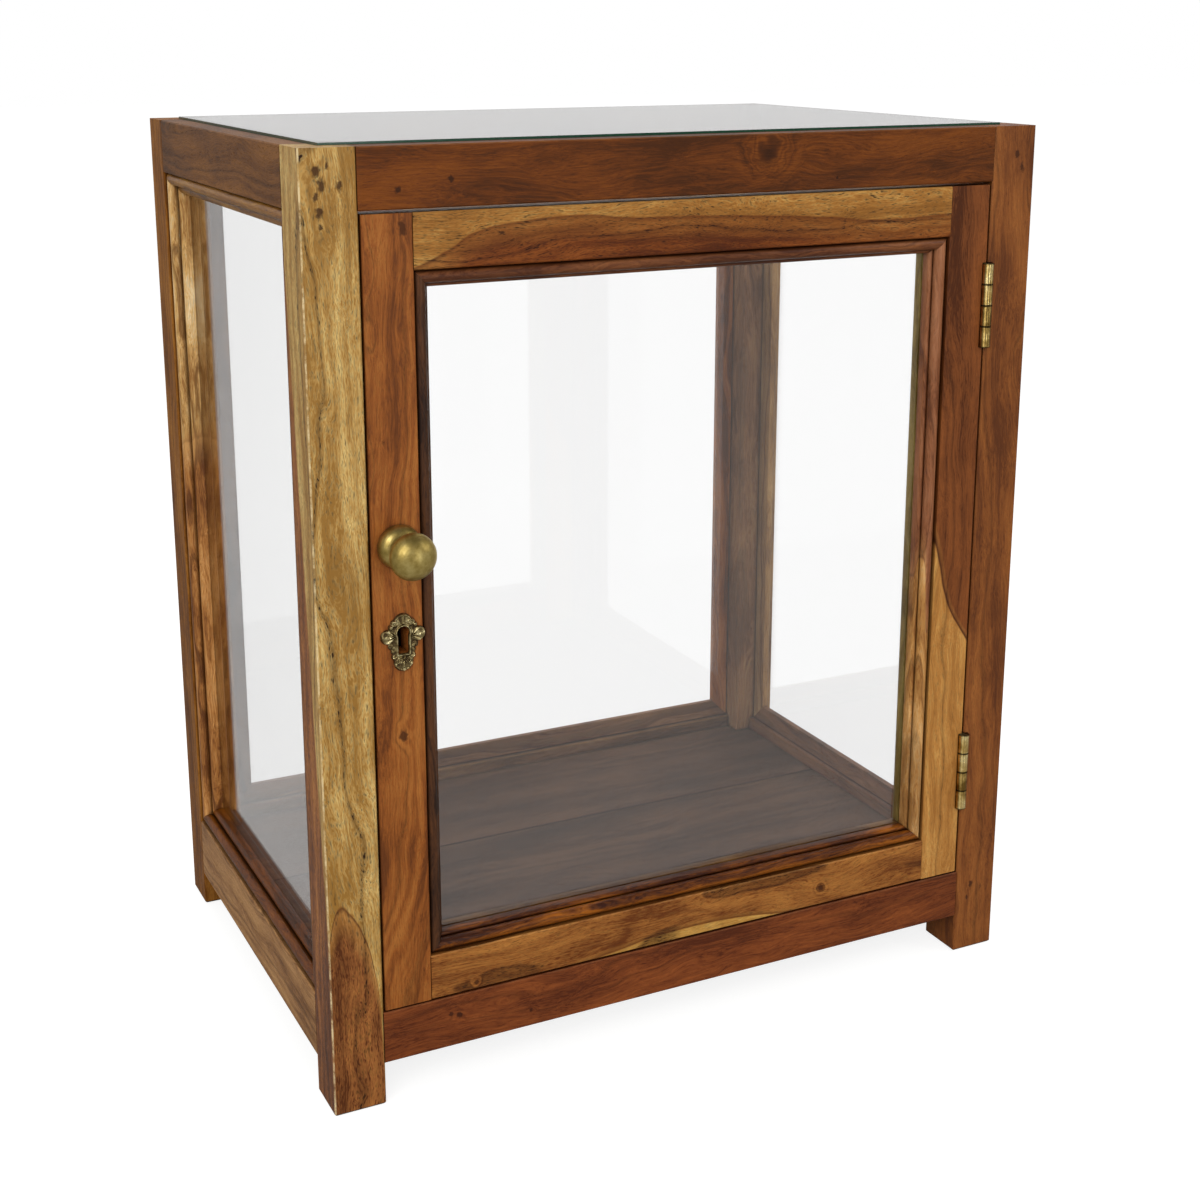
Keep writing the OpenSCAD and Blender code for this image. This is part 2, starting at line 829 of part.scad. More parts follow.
// Outline of the keyhole at a scale set by the extra margin
module keyhole_shape(m) {
    r = keyhole_w / 2;
    translate([0, keyhole_h / 2 - r]) circle(r = r + m);
    translate([-r * 0.86 - m, -keyhole_h / 2 - m]) square([r * 1.72 + 2 * m, keyhole_h - r + m]);
}

// Keyhole between two depths of the door
module keyhole(y0, y1) {
    translate([plate_x, y1, key_mid]) rotate([90, 0, 0]) linear_extrude(y1 - y0) keyhole_shape(0);
}

module on_plate() {
    translate([plate_x, front, plate_mid]) rotate([90, 0, 0]) children();
}

// Flat of the plate: crown, two side shells, body and tail
module plate_outline() {
    translate([0, 12.6]) circle(r = 5.9);
    for (s = [-1, 1]) {
        translate([s * 5, 12.2]) circle(r = 2.6);
        translate([s * 9.4, 4.4]) circle(r = 5);
        translate([s * 7.4, 9.4]) circle(r = 1.5);
        translate([s * 6.4, -4.4]) circle(r = 2);
        translate([s * 4.9, -11.4]) circle(r = 2.7);
    }
    translate([-7, -8]) square([14, 18]);
    translate([0, -12.2]) circle(r = 6.4);
}

// A stud with a sloping side, standing on the plate
module stud(x, y, r, h) {
    k = ornament;
    translate([x * k, y * k, plate_t / 2]) cylinder(r1 = r * 1.1 * k, r2 = r * 0.7 * k, h = plate_t / 2 + h);
}

// Raised lines of one half: the ribs of a shell, the scroll beside the crown and a leaf above the tail
module relief_lines() {
    for (a = [-58, -29, 0, 29, 58]) {
        translate([7.6, 4.3]) rotate(a) polygon([[1.8, -0.3], [5, -0.75], [5.6, 0], [5, 0.75], [1.8, 0.3]]);
    }
    translate([4.4, 13]) difference() {
        circle(r = 2.5);
        circle(r = 1.7);
    }
    translate([4.6, -11.4]) difference() {
        circle(r = 2.3);
        circle(r = 1.5);
    }
    polygon([[6.2, -1.4], [7.4, -3.4], [6.4, -7.6], [5.8, -4.2]]);
}

module relief_side() {
    translate([0, 0, plate_t / 2]) linear_extrude(plate_t / 2 + relief * 0.7)
        scale([ornament, ornament]) relief_lines();
    stud(7.6, 4.3, 1.2, relief * 0.9);
    stud(7.4, 9.5, 1, relief);
    stud(4.4, 13, 0.8, relief * 0.8);
    stud(4.6, -11.4, 0.8, relief * 0.8);
}

module keyhole_plate() {
    color("#8c7642") placed() difference() {
        on_plate() {
            linear_extrude(plate_t) scale([ornament, ornament]) plate_outline();
            relief_side();
            mirror([1, 0, 0]) relief_side();
            // Rim of the keyhole, crown, tail and rosette
            translate([0, keyhole_lift, plate_t / 2]) linear_extrude(plate_t / 2 + relief * 0.8)
                keyhole_shape(keyhole_rim);
            stud(0, 15.6, 1.4, relief);
            stud(0, -13, 1.3, relief);
            for (a = [30:60:330]) {
                stud(2.3 * sin(a), -13 + 2.3 * cos(a), 0.7, relief * 0.7);
            }
        }
        keyhole(front - 10, front + 1);
        plate_pin_set();
    }
}

// Two small round-headed pins hold the plate
module each_plate_pin() {
    for (y = [12.3, -17.2]) {
        on_plate() translate([0, y * ornament, 0]) children();
    }
}

module plate_pin_set() {
    each_plate_pin() translate([0, 0, -1]) cylinder(r = plate_pin_r, h = plate_t + 4);
}

module keyhole_plate_pins() {
    color("#8c7642") placed() each_plate_pin() {
        r = plate_pin_r;
        translate([0, 0, -plate_pin_l]) cylinder(r = r, h = plate_t + plate_pin_l);
        translate([0, 0, plate_t]) cylinder(r1 = r * 11 / 6, r2 = r * 7 / 6, h = r * 5 / 6);
    }
}

// Cupboard lock let into the back of the stile

module cover_block(y1) {
    block([lock_x0 - cover_side, lock_y1, lock_z0 - cover_end],
        [lock_x0 + lock_w + cover_side, y1, lock_z0 + lock_h + cover_end]);
}

module lock_pocket() {
    block([lock_x0, lock_y0, lock_z0], [lock_x0 + lock_w, front + door_t + 1, lock_z0 + lock_h]);
    cover_block(front + door_t + 1);
}

module lock_case() {
    w = lock_wall;
    c = bolt_clear;
    color("#4a4338") placed() difference() {
        block([lock_x0, lock_y0, lock_z0], [lock_x0 + lock_w, lock_y1, lock_z0 + lock_h]);
        block([lock_x0 + w, lock_y0 + w, lock_z0 + w],
            [lock_x0 + lock_w - w, lock_y1 + 1, lock_z0 + lock_h - w]);
        block([lock_x0 - 1, bolt_y - bolt_t / 2 - c, bolt_z - bolt_h / 2 - c],
            [lock_x0 + w + 1, bolt_y + bolt_t / 2 + c, bolt_z + bolt_h / 2 + c]);
        keyhole(lock_y0 - 1, lock_y0 + w + 1);
    }
}

module lock_cover() {
    color("#b8964a") placed() difference() {
        cover_block(front + door_t);
        lock_screw_set();
    }
}

// The bolt has a notch below for the bit of the key
module lock_bolt() {
    x0 = -door_x + 0.2;
    color("#8f8462") placed() difference() {
        block([x0, bolt_y - bolt_t / 2, bolt_z - bolt_h / 2],
            [x0 + bolt_l, bolt_y + bolt_t / 2, bolt_z + bolt_h / 2]);
        translate([x0 + bolt_l - 6.5, bolt_y - bolt_t, bolt_z - bolt_h / 2 - 1])
            cube([4, 2 * bolt_t, bolt_h * 0.45]);
    }
}

module each_lock_screw() {
    for (sx = [0.2, 0.8], sz = [-cover_end / 2, lock_h + cover_end / 2]) {
        translate([lock_x0 + lock_w * sx, front + door_t, lock_z0 + sz]) rotate([90, 0, 0]) children();
    }
}

module lock_screw_set() {
    each_lock_screw() wood_screw(lock_screw_r, lock_head_r, lock_wall, lock_screw_l);
}

module lock_screws() {
    color("#b8964a") placed() each_lock_screw()
        slotted_screw(lock_screw_r, lock_head_r, lock_wall, lock_screw_l);
}

// Striking plate in the left post, with a pocket for the bolt behind it

module strike_seat() {
    c = bolt_play;
    block([-inner_x - leaf_t, bolt_y - strike_w / 2, strike_z - strike_h / 2],
        [-inner_x + 1, bolt_y + strike_w / 2, strike_z + strike_h / 2]);
    block([-inner_x - bolt_travel - 3, bolt_y - bolt_t / 2 - c, bolt_z - bolt_h / 2 - c],
        [-inner_x, bolt_y + bolt_t / 2 + c, bolt_z + bolt_h / 2 + c]);
}

module strike_plate() {
    c = bolt_play;
    color("#b8964a") placed() difference() {
        block([-inner_x - leaf_t, bolt_y - strike_w / 2, strike_z - strike_h / 2],
            [-inner_x, bolt_y + strike_w / 2, strike_z + strike_h / 2]);
        block([-inner_x - leaf_t - 1, bolt_y - bolt_t / 2 - c, bolt_z - bolt_h / 2 - c],
            [-inner_x + 1, bolt_y + bolt_t / 2 + c, bolt_z + bolt_h / 2 + c]);
        strike_screw_set();
    }
}

module each_strike_screw() {
    for (s = [-1, 1]) {
        translate([-inner_x, bolt_y, strike_z + s * (strike_h / 2 - 5)]) rotate([0, -90, 0]) children();
    }
}

module strike_screw_set() {
    each_strike_screw() wood_screw(lock_screw_r, lock_head_r, leaf_t, lock_screw_l);
}

module strike_screws() {
    color("#b8964a") placed() each_strike_screw()
        slotted_screw(lock_screw_r, lock_head_r, leaf_t, lock_screw_l);
}

post_front_left();
post_front_right();
post_back_left();
post_back_right();
top_rail_front();
top_rail_back();
top_rail_left();
top_rail_right();
bottom_rail_front();
bottom_rail_back();
bottom_rail_left();
bottom_rail_right();
floor_board_front();
floor_board_back();
floor_cleats();
door_stop();
glass_top();
glass_left();
glass_right();
glass_back();
moulding_left();
moulding_right();
moulding_back();
door_stile_left();
door_stile_right();
door_rail_top();
door_rail_bottom();
door_glass();
door_moulding();
door_bead();
hinge_upper_post_leaf();
hinge_upper_door_leaf();
hinge_upper_pin();
hinge_lower_post_leaf();
hinge_lower_door_leaf();
hinge_lower_pin();
hinge_post_screws();
hinge_door_screws();
knob_head();
knob_rose();
knob_screw();
keyhole_plate();
keyhole_plate_pins();
lock_case();
lock_cover();
lock_bolt();
lock_screws();
strike_plate();
strike_screws();
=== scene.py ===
"""Looks of a glazed display cabinet of lacquered acacia with brass fittings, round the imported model."""

import math

import bpy
import numpy as np
from mathutils import Euler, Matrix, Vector


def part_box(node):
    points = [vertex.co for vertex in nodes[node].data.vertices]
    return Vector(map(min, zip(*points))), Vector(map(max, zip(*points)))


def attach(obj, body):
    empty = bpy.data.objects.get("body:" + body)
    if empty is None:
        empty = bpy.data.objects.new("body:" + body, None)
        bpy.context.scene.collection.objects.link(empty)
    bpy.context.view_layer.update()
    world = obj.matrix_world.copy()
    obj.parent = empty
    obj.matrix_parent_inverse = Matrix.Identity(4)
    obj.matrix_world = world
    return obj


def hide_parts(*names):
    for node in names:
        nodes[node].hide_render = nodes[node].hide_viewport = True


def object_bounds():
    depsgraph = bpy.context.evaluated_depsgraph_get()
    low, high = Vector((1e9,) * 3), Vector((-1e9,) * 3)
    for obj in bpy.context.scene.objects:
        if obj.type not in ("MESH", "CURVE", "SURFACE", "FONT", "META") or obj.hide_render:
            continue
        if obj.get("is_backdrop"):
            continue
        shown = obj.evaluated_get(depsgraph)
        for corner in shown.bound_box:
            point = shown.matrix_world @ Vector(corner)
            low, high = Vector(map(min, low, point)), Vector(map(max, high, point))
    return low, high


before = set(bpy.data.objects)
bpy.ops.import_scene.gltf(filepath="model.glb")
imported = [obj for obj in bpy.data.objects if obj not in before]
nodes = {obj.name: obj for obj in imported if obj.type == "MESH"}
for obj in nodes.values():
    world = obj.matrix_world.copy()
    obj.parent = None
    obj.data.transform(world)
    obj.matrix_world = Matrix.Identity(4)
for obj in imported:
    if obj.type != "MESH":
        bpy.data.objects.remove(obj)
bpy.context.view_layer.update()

# The view
# A camera a little above the top pane and to the left of the door, as in the photograph, whose lens was
# shifted down to keep the posts upright. The small shift here is as much of that as the other views allow.
camera = bpy.data.objects.new("camera", bpy.data.cameras.new("camera"))
bpy.context.collection.objects.link(camera)
bpy.context.scene.camera = camera
VIEW_TURN, VIEW_DROP = 26.28, 14.16
camera.location = (-0.554, -1.140, 0.668)
camera.rotation_euler = (math.radians(90 - VIEW_DROP), 0, math.radians(-VIEW_TURN))
camera.data.sensor_width = 36
camera.data.lens = 54.70
camera.data.shift_y = -0.10
bpy.context.scene.view_settings.view_transform = "Standard"


# The studio
# A pale sweep of paper for floor and backdrop, lit evenly from all round, with a large soft lamp to the left
# of the door, a weaker one to the right, one above and a narrow upright one in front. What the camera and
# the glass see of the paper is white, and no lamp is seen through a pane.
def srgb(colour):
    """A hex colour as it looks on a screen, turned to the linear values that light is reckoned in."""
    parts = [int(colour[i:i + 2], 16) / 255 for i in (1, 3, 5)]
    return [c / 12.92 if c <= 0.04045 else ((c + 0.055) / 1.055) ** 2.4 for c in parts] + [1.0]


def node(tree, kind, inputs=None, **settings):
    """Adds a node. An input is a value, a socket to link from, or a node whose first output is linked."""
    made = tree.nodes.new(kind)
    for name, value in settings.items():
        setattr(made, name, value)
    for key, value in (inputs or {}).items():
        if isinstance(value, bpy.types.Node):
            value = value.outputs[0]
        if isinstance(value, bpy.types.NodeSocket):
            tree.links.new(value, made.inputs[key])
        else:
            made.inputs[key].default_value = value
    return made


def new_material(name):
    """An empty material and the tree that its nodes go in."""
    made = bpy.data.materials.new(name)
    made.use_nodes = True
    made.node_tree.nodes.clear()
    return made, made.node_tree


FILL_LIGHT = 0.64  # Strength of the even light on the cabinet
SEEN_THROUGH = 1.08  # Strength of the white behind a pane, which makes up for what the glass takes
# Lacquer and brass mirror a studio that is bright behind the cabinet and dark before it. The change from one
# to the other lies between these two directions along Y.
SHEEN_BEFORE, SHEEN_BEHIND = 0.08, 0.74
SHEEN_FROM, SHEEN_TO = -0.25, 0.35
world = bpy.data.worlds.new("studio")
bpy.context.scene.world = world
world.use_nodes = True
tree = world.node_tree
tree.nodes.clear()
ray = node(tree, "ShaderNodeLightPath")
direction = node(tree, "ShaderNodeSeparateXYZ", {0: node(tree, "ShaderNodeTexCoord").outputs["Generated"]})
sheen = node(tree, "ShaderNodeMapRange", {
    0: direction.outputs[1], 1: SHEEN_FROM, 2: SHEEN_TO, 3: SHEEN_BEFORE, 4: SHEEN_BEHIND})
level = node(tree, "ShaderNodeMix", {0: ray.outputs["Is Glossy Ray"], 2: FILL_LIGHT, 3: sheen})
seen = node(tree, "ShaderNodeMath", {0: ray.outputs["Is Camera Ray"], 1: ray.outputs["Is Transmission Ray"]},
            operation="MAXIMUM")
white = node(tree, "ShaderNodeMix", {0: ray.outputs["Is Transmission Ray"], 2: 1.0, 3: SEEN_THROUGH})
level = node(tree, "ShaderNodeMix", {0: seen, 2: level, 3: white})
sky = node(tree, "ShaderNodeBackground", {0: srgb("#ffffff"), 1: level})
node(tree, "ShaderNodeOutputWorld", {0: sky})

FLOOR_REACH, FLOOR_DROP = 14.0, 0.0002
PAPER_GLOW, SHARE_IN_SHEEN = 0.82, 0.12  # What the camera sees of the paper's white, and what polish mirrors
floor_corners = ((-1, -1), (1, -1), (1, 1), (-1, 1))
floor_mesh = bpy.data.meshes.new("studio_floor")
floor_mesh.from_pydata([(x * FLOOR_REACH, y * FLOOR_REACH, -FLOOR_DROP) for x, y in floor_corners], [],
                       [(0, 1, 2, 3)])
studio_floor = bpy.data.objects.new("studio_floor", floor_mesh)
bpy.context.collection.objects.link(studio_floor)
studio_floor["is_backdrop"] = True
paper, tree = new_material("matt_white_paper_sweep")
ray = node(tree, "ShaderNodeLightPath")
seen = node(tree, "ShaderNodeMath", {
    0: ray.outputs["Is Glossy Ray"], 1: SHARE_IN_SHEEN, 2: ray.outputs["Is Camera Ray"]},
    operation="MULTIPLY_ADD")
glow = node(tree, "ShaderNodeMath", {0: seen, 1: PAPER_GLOW}, operation="MULTIPLY")
glow = node(tree, "ShaderNodeEmission", {0: srgb("#ffffff"), 1: glow})
matt = node(tree, "ShaderNodeBsdfDiffuse", {0: srgb("#9c9c9a")})
paper_lit = node(tree, "ShaderNodeAddShader", {0: matt, 1: glow})
even = node(tree, "ShaderNodeEmission", {0: srgb("#ffffff"), 1: SEEN_THROUGH})
sweep = node(tree, "ShaderNodeMixShader", {0: ray.outputs["Is Transmission Ray"], 1: paper_lit, 2: even})
node(tree, "ShaderNodeOutputMaterial", {0: sweep})
floor_mesh.materials.append(paper)


def lamp(name, place, width, power, aim=(0, 0, 0.3), height=None):
    """A soft lamp that faces the aim, square unless it has a height, and that isn't seen through a pane."""
    made = bpy.data.objects.new(name, bpy.data.lights.new(name, "AREA"))
    bpy.context.collection.objects.link(made)
    made.data.shape = "RECTANGLE"
    made.data.size = width
    made.data.size_y = height or width
    made.data.energy = power
    made.location = place
    made.rotation_euler = (Vector(aim) - Vector(place)).to_track_quat("-Z", "Y").to_euler()
    made.visible_transmission = False


lamp("key_lamp", (-1.9, -2.1, 1.6), 1.9, 47)
lamp("fill_lamp", (2.1, -1.7, 1.5), 1.2, 15)
lamp("top_lamp", (0.2, 0.9, 2.4), 1.2, 14)
lamp("strip_lamp", (0.28, -1.75, 0.42), 0.14, 4, aim=(0.28, 0, 0.42), height=1.3)


# Posts
# Four square legs of acacia, planed, sanded and wiped with satin lacquer. The heartwood is red-brown with
# dark growth lines and the sapwood straw-coloured, so each leg has its own figure. One arris of a leg is
# painted pale, partly as scuffing by hands and partly as a painted highlight along it.
MM = 1000  # Millimetres in a metre. The lengths below are in millimetres.
FRONT = -160  # Y of the cabinet's front
BOARD_APART = 137  # How far up the trunk each board was cut from the one before, so that no two are alike
TRUNK_SWAY = 17  # How far the trunk's grain wanders to each side
KNOT_BULGE = 100 / 12  # Width of the bulges in a knot's outline
LARGE_KNOT = 4  # Radius from which a knot's heart is round and soft
PALE_ARRIS_PATCH = 100 / 9  # Length of a patch of the pale arris
PLANE_WAVE = 100 / 3  # Distance between the faint waves that a hand plane left
CORNER_SHADE_REACH = 4  # Reach of the painted shade from a corner
BROAD_TONE, FIBRE_TONE = 0.62, 0.48  # Shares of broad clouds and of fibres in the tone of the wood
RING_SHARE = 0.35  # What the growth rings add to the wander of the sapwood's edge


def in_millimetres(tree):
    """Places on the object in millimetres."""
    place = node(tree, "ShaderNodeTexCoord").outputs["Object"]
    return node(tree, "ShaderNodeVectorMath", {0: place, 3: MM}, operation="SCALE")


def in_the_trunk(tree, place, box, along, seed, lean, pith):
    """Where a place lay in the trunk that the board was cut from, whose pith is the Z axis."""
    turn = {"X": Euler((0, math.radians(-90), 0)), "Y": Euler((math.radians(90), 0, 0)),
            "Z": Euler((0, 0, 0))}[along]
    tilt = Euler((math.radians(lean[0]), math.radians(lean[1]), 0)).to_matrix() @ turn.to_matrix()
    centre = (box[0] + box[1]) / 2 * MM
    return node(tree, "ShaderNodeMapping", {
        "Vector": place, "Rotation": tilt.to_euler(),
        "Location": Vector((pith[0], pith[1], BOARD_APART * seed)) - tilt @ centre})


def streaks(tree, place, width, length, detail, roughness):
    """Clouds drawn out along the grain, of that width and length in millimetres."""
    drawn = node(tree, "ShaderNodeVectorMath", {0: place, 1: (1 / width, 1 / width, 1 / length)},
                 operation="MULTIPLY")
    return node(tree, "ShaderNodeTexNoise", {
        "Vector": drawn, "Scale": 1.0, "Detail": detail, "Roughness": roughness})


def bent_fibres(tree, log, curl):
    """Bends the grain, because the trunk wandered over a hand's length, and interlocked fibres sway by the
    curl every centimetre or two, which makes the curly figure."""
    grain = log
    for width, length, detail, roughness, sway in (
            (40, 130, 2.0, 0.45, TRUNK_SWAY), (16, 34, 1.0, 0.4, curl)):
        bend = streaks(tree, log, width, length, detail, roughness).outputs["Color"]
        bend = node(tree, "ShaderNodeVectorMath", {0: bend, 1: (0.5, 0.5, 0.5)}, operation="SUBTRACT")
        grain = node(tree, "ShaderNodeVectorMath", {0: bend, 1: (sway * 2, sway * 2, 0), 2: grain},
                     operation="MULTIPLY_ADD")
    return grain


def push_rings(tree, radius, away, reach, pull):
    """Pushes the growth rings out by the pull, and less and less up to the reach, as a branch does."""
    near = node(tree, "ShaderNodeMapRange", {0: away, 1: reach, 2: 0.0, 3: 0.0, 4: 1.0},
                interpolation_type="SMOOTHERSTEP")
    return node(tree, "ShaderNodeMath", {0: near, 1: pull, 2: radius}, operation="MULTIPLY_ADD")


def knot(tree, place, along, x, z, size):
    """The distance from a knot on the front, whose outline is crooked, and the knot's dark heart. A knot in
    an upright board is longer than wide."""
    away = node(tree, "ShaderNodeVectorMath", {0: place, 1: (x, FRONT, z)}, operation="SUBTRACT")
    away = node(tree, "ShaderNodeVectorMath", {0: away, 1: (1, 1, 0.6 if along == "Z" else 1)},
                operation="MULTIPLY")
    away = node(tree, "ShaderNodeVectorMath", {0: away}, operation="LENGTH").outputs["Value"]
    crooked = node(tree, "ShaderNodeTexNoise", {"Vector": place, "Scale": 1 / KNOT_BULGE, "Detail": 1.0})
    away = node(tree, "ShaderNodeMath", {0: crooked, 1: size * 1.6, 2: away}, operation="MULTIPLY_ADD")
    away = node(tree, "ShaderNodeMath", {0: away, 1: size * 0.8}, operation="SUBTRACT")
    away = node(tree, "ShaderNodeMath", {0: away, 1: 0.0}, operation="MAXIMUM")
    uneven, soft = (1.8, 0.3) if size < LARGE_KNOT else (0.6, 0.75)
    ragged = node(tree, "ShaderNodeTexNoise", {"Vector": place, "Scale": 0.9 / size, "Detail": 2.0})
    rim = node(tree, "ShaderNodeMath", {0: ragged, 1: size * uneven, 2: size * (1 - uneven / 2)},
               operation="MULTIPLY_ADD")
    inside = node(tree, "ShaderNodeMath", {0: away, 1: rim}, operation="DIVIDE")
    heart = node(tree, "ShaderNodeMapRange", {0: inside, 1: 0.9 + soft, 2: 0.95 - soft, 3: 0.0, 4: 1.0})
    return away, heart


def past_the_edge(tree, place, broad, bands, edge):
    """Millimetres past the sapwood's edge, more than 0 in the sapwood. The edge wanders with the grain."""
    axes = node(tree, "ShaderNodeSeparateXYZ", {0: place})
    way = node(tree, "ShaderNodeMapRange", {
        0: axes.outputs[edge["along"]], 1: edge["span"][0], 2: edge["span"][1]})
    curve = node(tree, "ShaderNodeFloatCurve", {1: way})
    line = curve.mapping.curves[0]
    line.points[0].location, line.points[1].location = edge["line"][0], edge["line"][-1]
    for point in edge["line"][1:-1]:
        line.points.new(*point)
    curve.mapping.update()
    limit = node(tree, "ShaderNodeMapRange", {0: curve, 3: edge["reach"][0], 4: edge["reach"][1]},
                 clamp=False)
    # The third axis is the depth of the board.
    depth = axes.outputs[3 - edge["along"] - edge["across"]]
    depth = node(tree, "ShaderNodeMath", {0: depth, 1: edge.get("front", FRONT)}, operation="SUBTRACT")
    level = axes.outputs[edge["across"]]
    level = node(tree, "ShaderNodeMath", {0: depth, 1: -edge.get("slope", 0), 2: level},
                 operation="MULTIPLY_ADD")
    wander = edge["wander"]
    level = node(tree, "ShaderNodeMath", {0: broad, 1: wander, 2: level}, operation="MULTIPLY_ADD")
    level = node(tree, "ShaderNodeMath", {0: bands, 1: wander * RING_SHARE, 2: level},
                 operation="MULTIPLY_ADD")
    beyond = node(tree, "ShaderNodeMath", {0: level, 1: limit}, operation="SUBTRACT")
    beyond = node(tree, "ShaderNodeMath", {0: beyond, 1: edge["side"]}, operation="MULTIPLY")
    middle = wander * (1 + RING_SHARE) / 2
    return node(tree, "ShaderNodeMath", {0: beyond, 1: middle * edge["side"]}, operation="SUBTRACT")


def add_sapwood(tree, heartwood, sapwood, tones, beyond, edge):
    """Lays sapwood beside heartwood, which pales towards it and ends in a dark rim."""
    pale = node(tree, "ShaderNodeMapRange", {0: beyond, 1: 0.0, 2: edge["soft"], 3: 0.0, 4: 1.0},
                interpolation_type="SMOOTHSTEP")
    near = node(tree, "ShaderNodeMapRange", {0: beyond, 1: -edge["fade"], 2: 0.0, 3: 0.0, 4: 1.0})
    near = node(tree, "ShaderNodeMath", {0: near, 1: 0.9}, operation="MULTIPLY")
    blend = node(tree, "ShaderNodeMix", {0: 0.5, 6: sapwood, 7: srgb(tones[2])}, data_type="RGBA").outputs[2]
    colour = node(tree, "ShaderNodeMix", {0: near, 6: heartwood, 7: blend}, data_type="RGBA").outputs[2]
    rim = node(tree, "ShaderNodeMapRange", {0: beyond, 1: -3.0, 2: 0.4, 3: 0.0, 4: 1.0},
               interpolation_type="SMOOTHSTEP")
    rim = node(tree, "ShaderNodeMath", {0: rim, 1: pale}, operation="SUBTRACT")
    rim = node(tree, "ShaderNodeMath", {0: rim, 1: edge["rim"]}, operation="MULTIPLY", use_clamp=True)
    colour = node(tree, "ShaderNodeMix", {0: rim, 6: colour, 7: srgb(tones[0])}, data_type="RGBA").outputs[2]
    return node(tree, "ShaderNodeMix", {0: pale, 6: colour, 7: sapwood}, data_type="RGBA").outputs[2]


def scuffed_and_highlit_arris(tree, place, worn, wear):
    """Where an arris of the case is painted pale, partly as scuffing by hands and partly as a painted
    highlight along it. Only its arris looks along both of its faces' axes.
    """
    normal = node(tree, "ShaderNodeTexCoord").outputs["Normal"]
    outward = node(tree, "ShaderNodeVectorMath", {0: normal, 1: worn}, operation="DOT_PRODUCT")
    arris = node(tree, "ShaderNodeMapRange", {
        0: outward.outputs["Value"], 1: 0.85, 2: 0.97, 3: 0.0, 4: 1.0})
    patch = node(tree, "ShaderNodeTexNoise", {
        "Vector": place, "Scale": 1 / PALE_ARRIS_PATCH, "Detail": 5.0, "Roughness": 0.75})
    patch = node(tree, "ShaderNodeMapRange", {0: patch, 1: 0.42, 2: 0.62, 3: 0.1, 4: wear})
    return node(tree, "ShaderNodeMath", {0: patch, 1: arris}, operation="MULTIPLY", use_clamp=True)


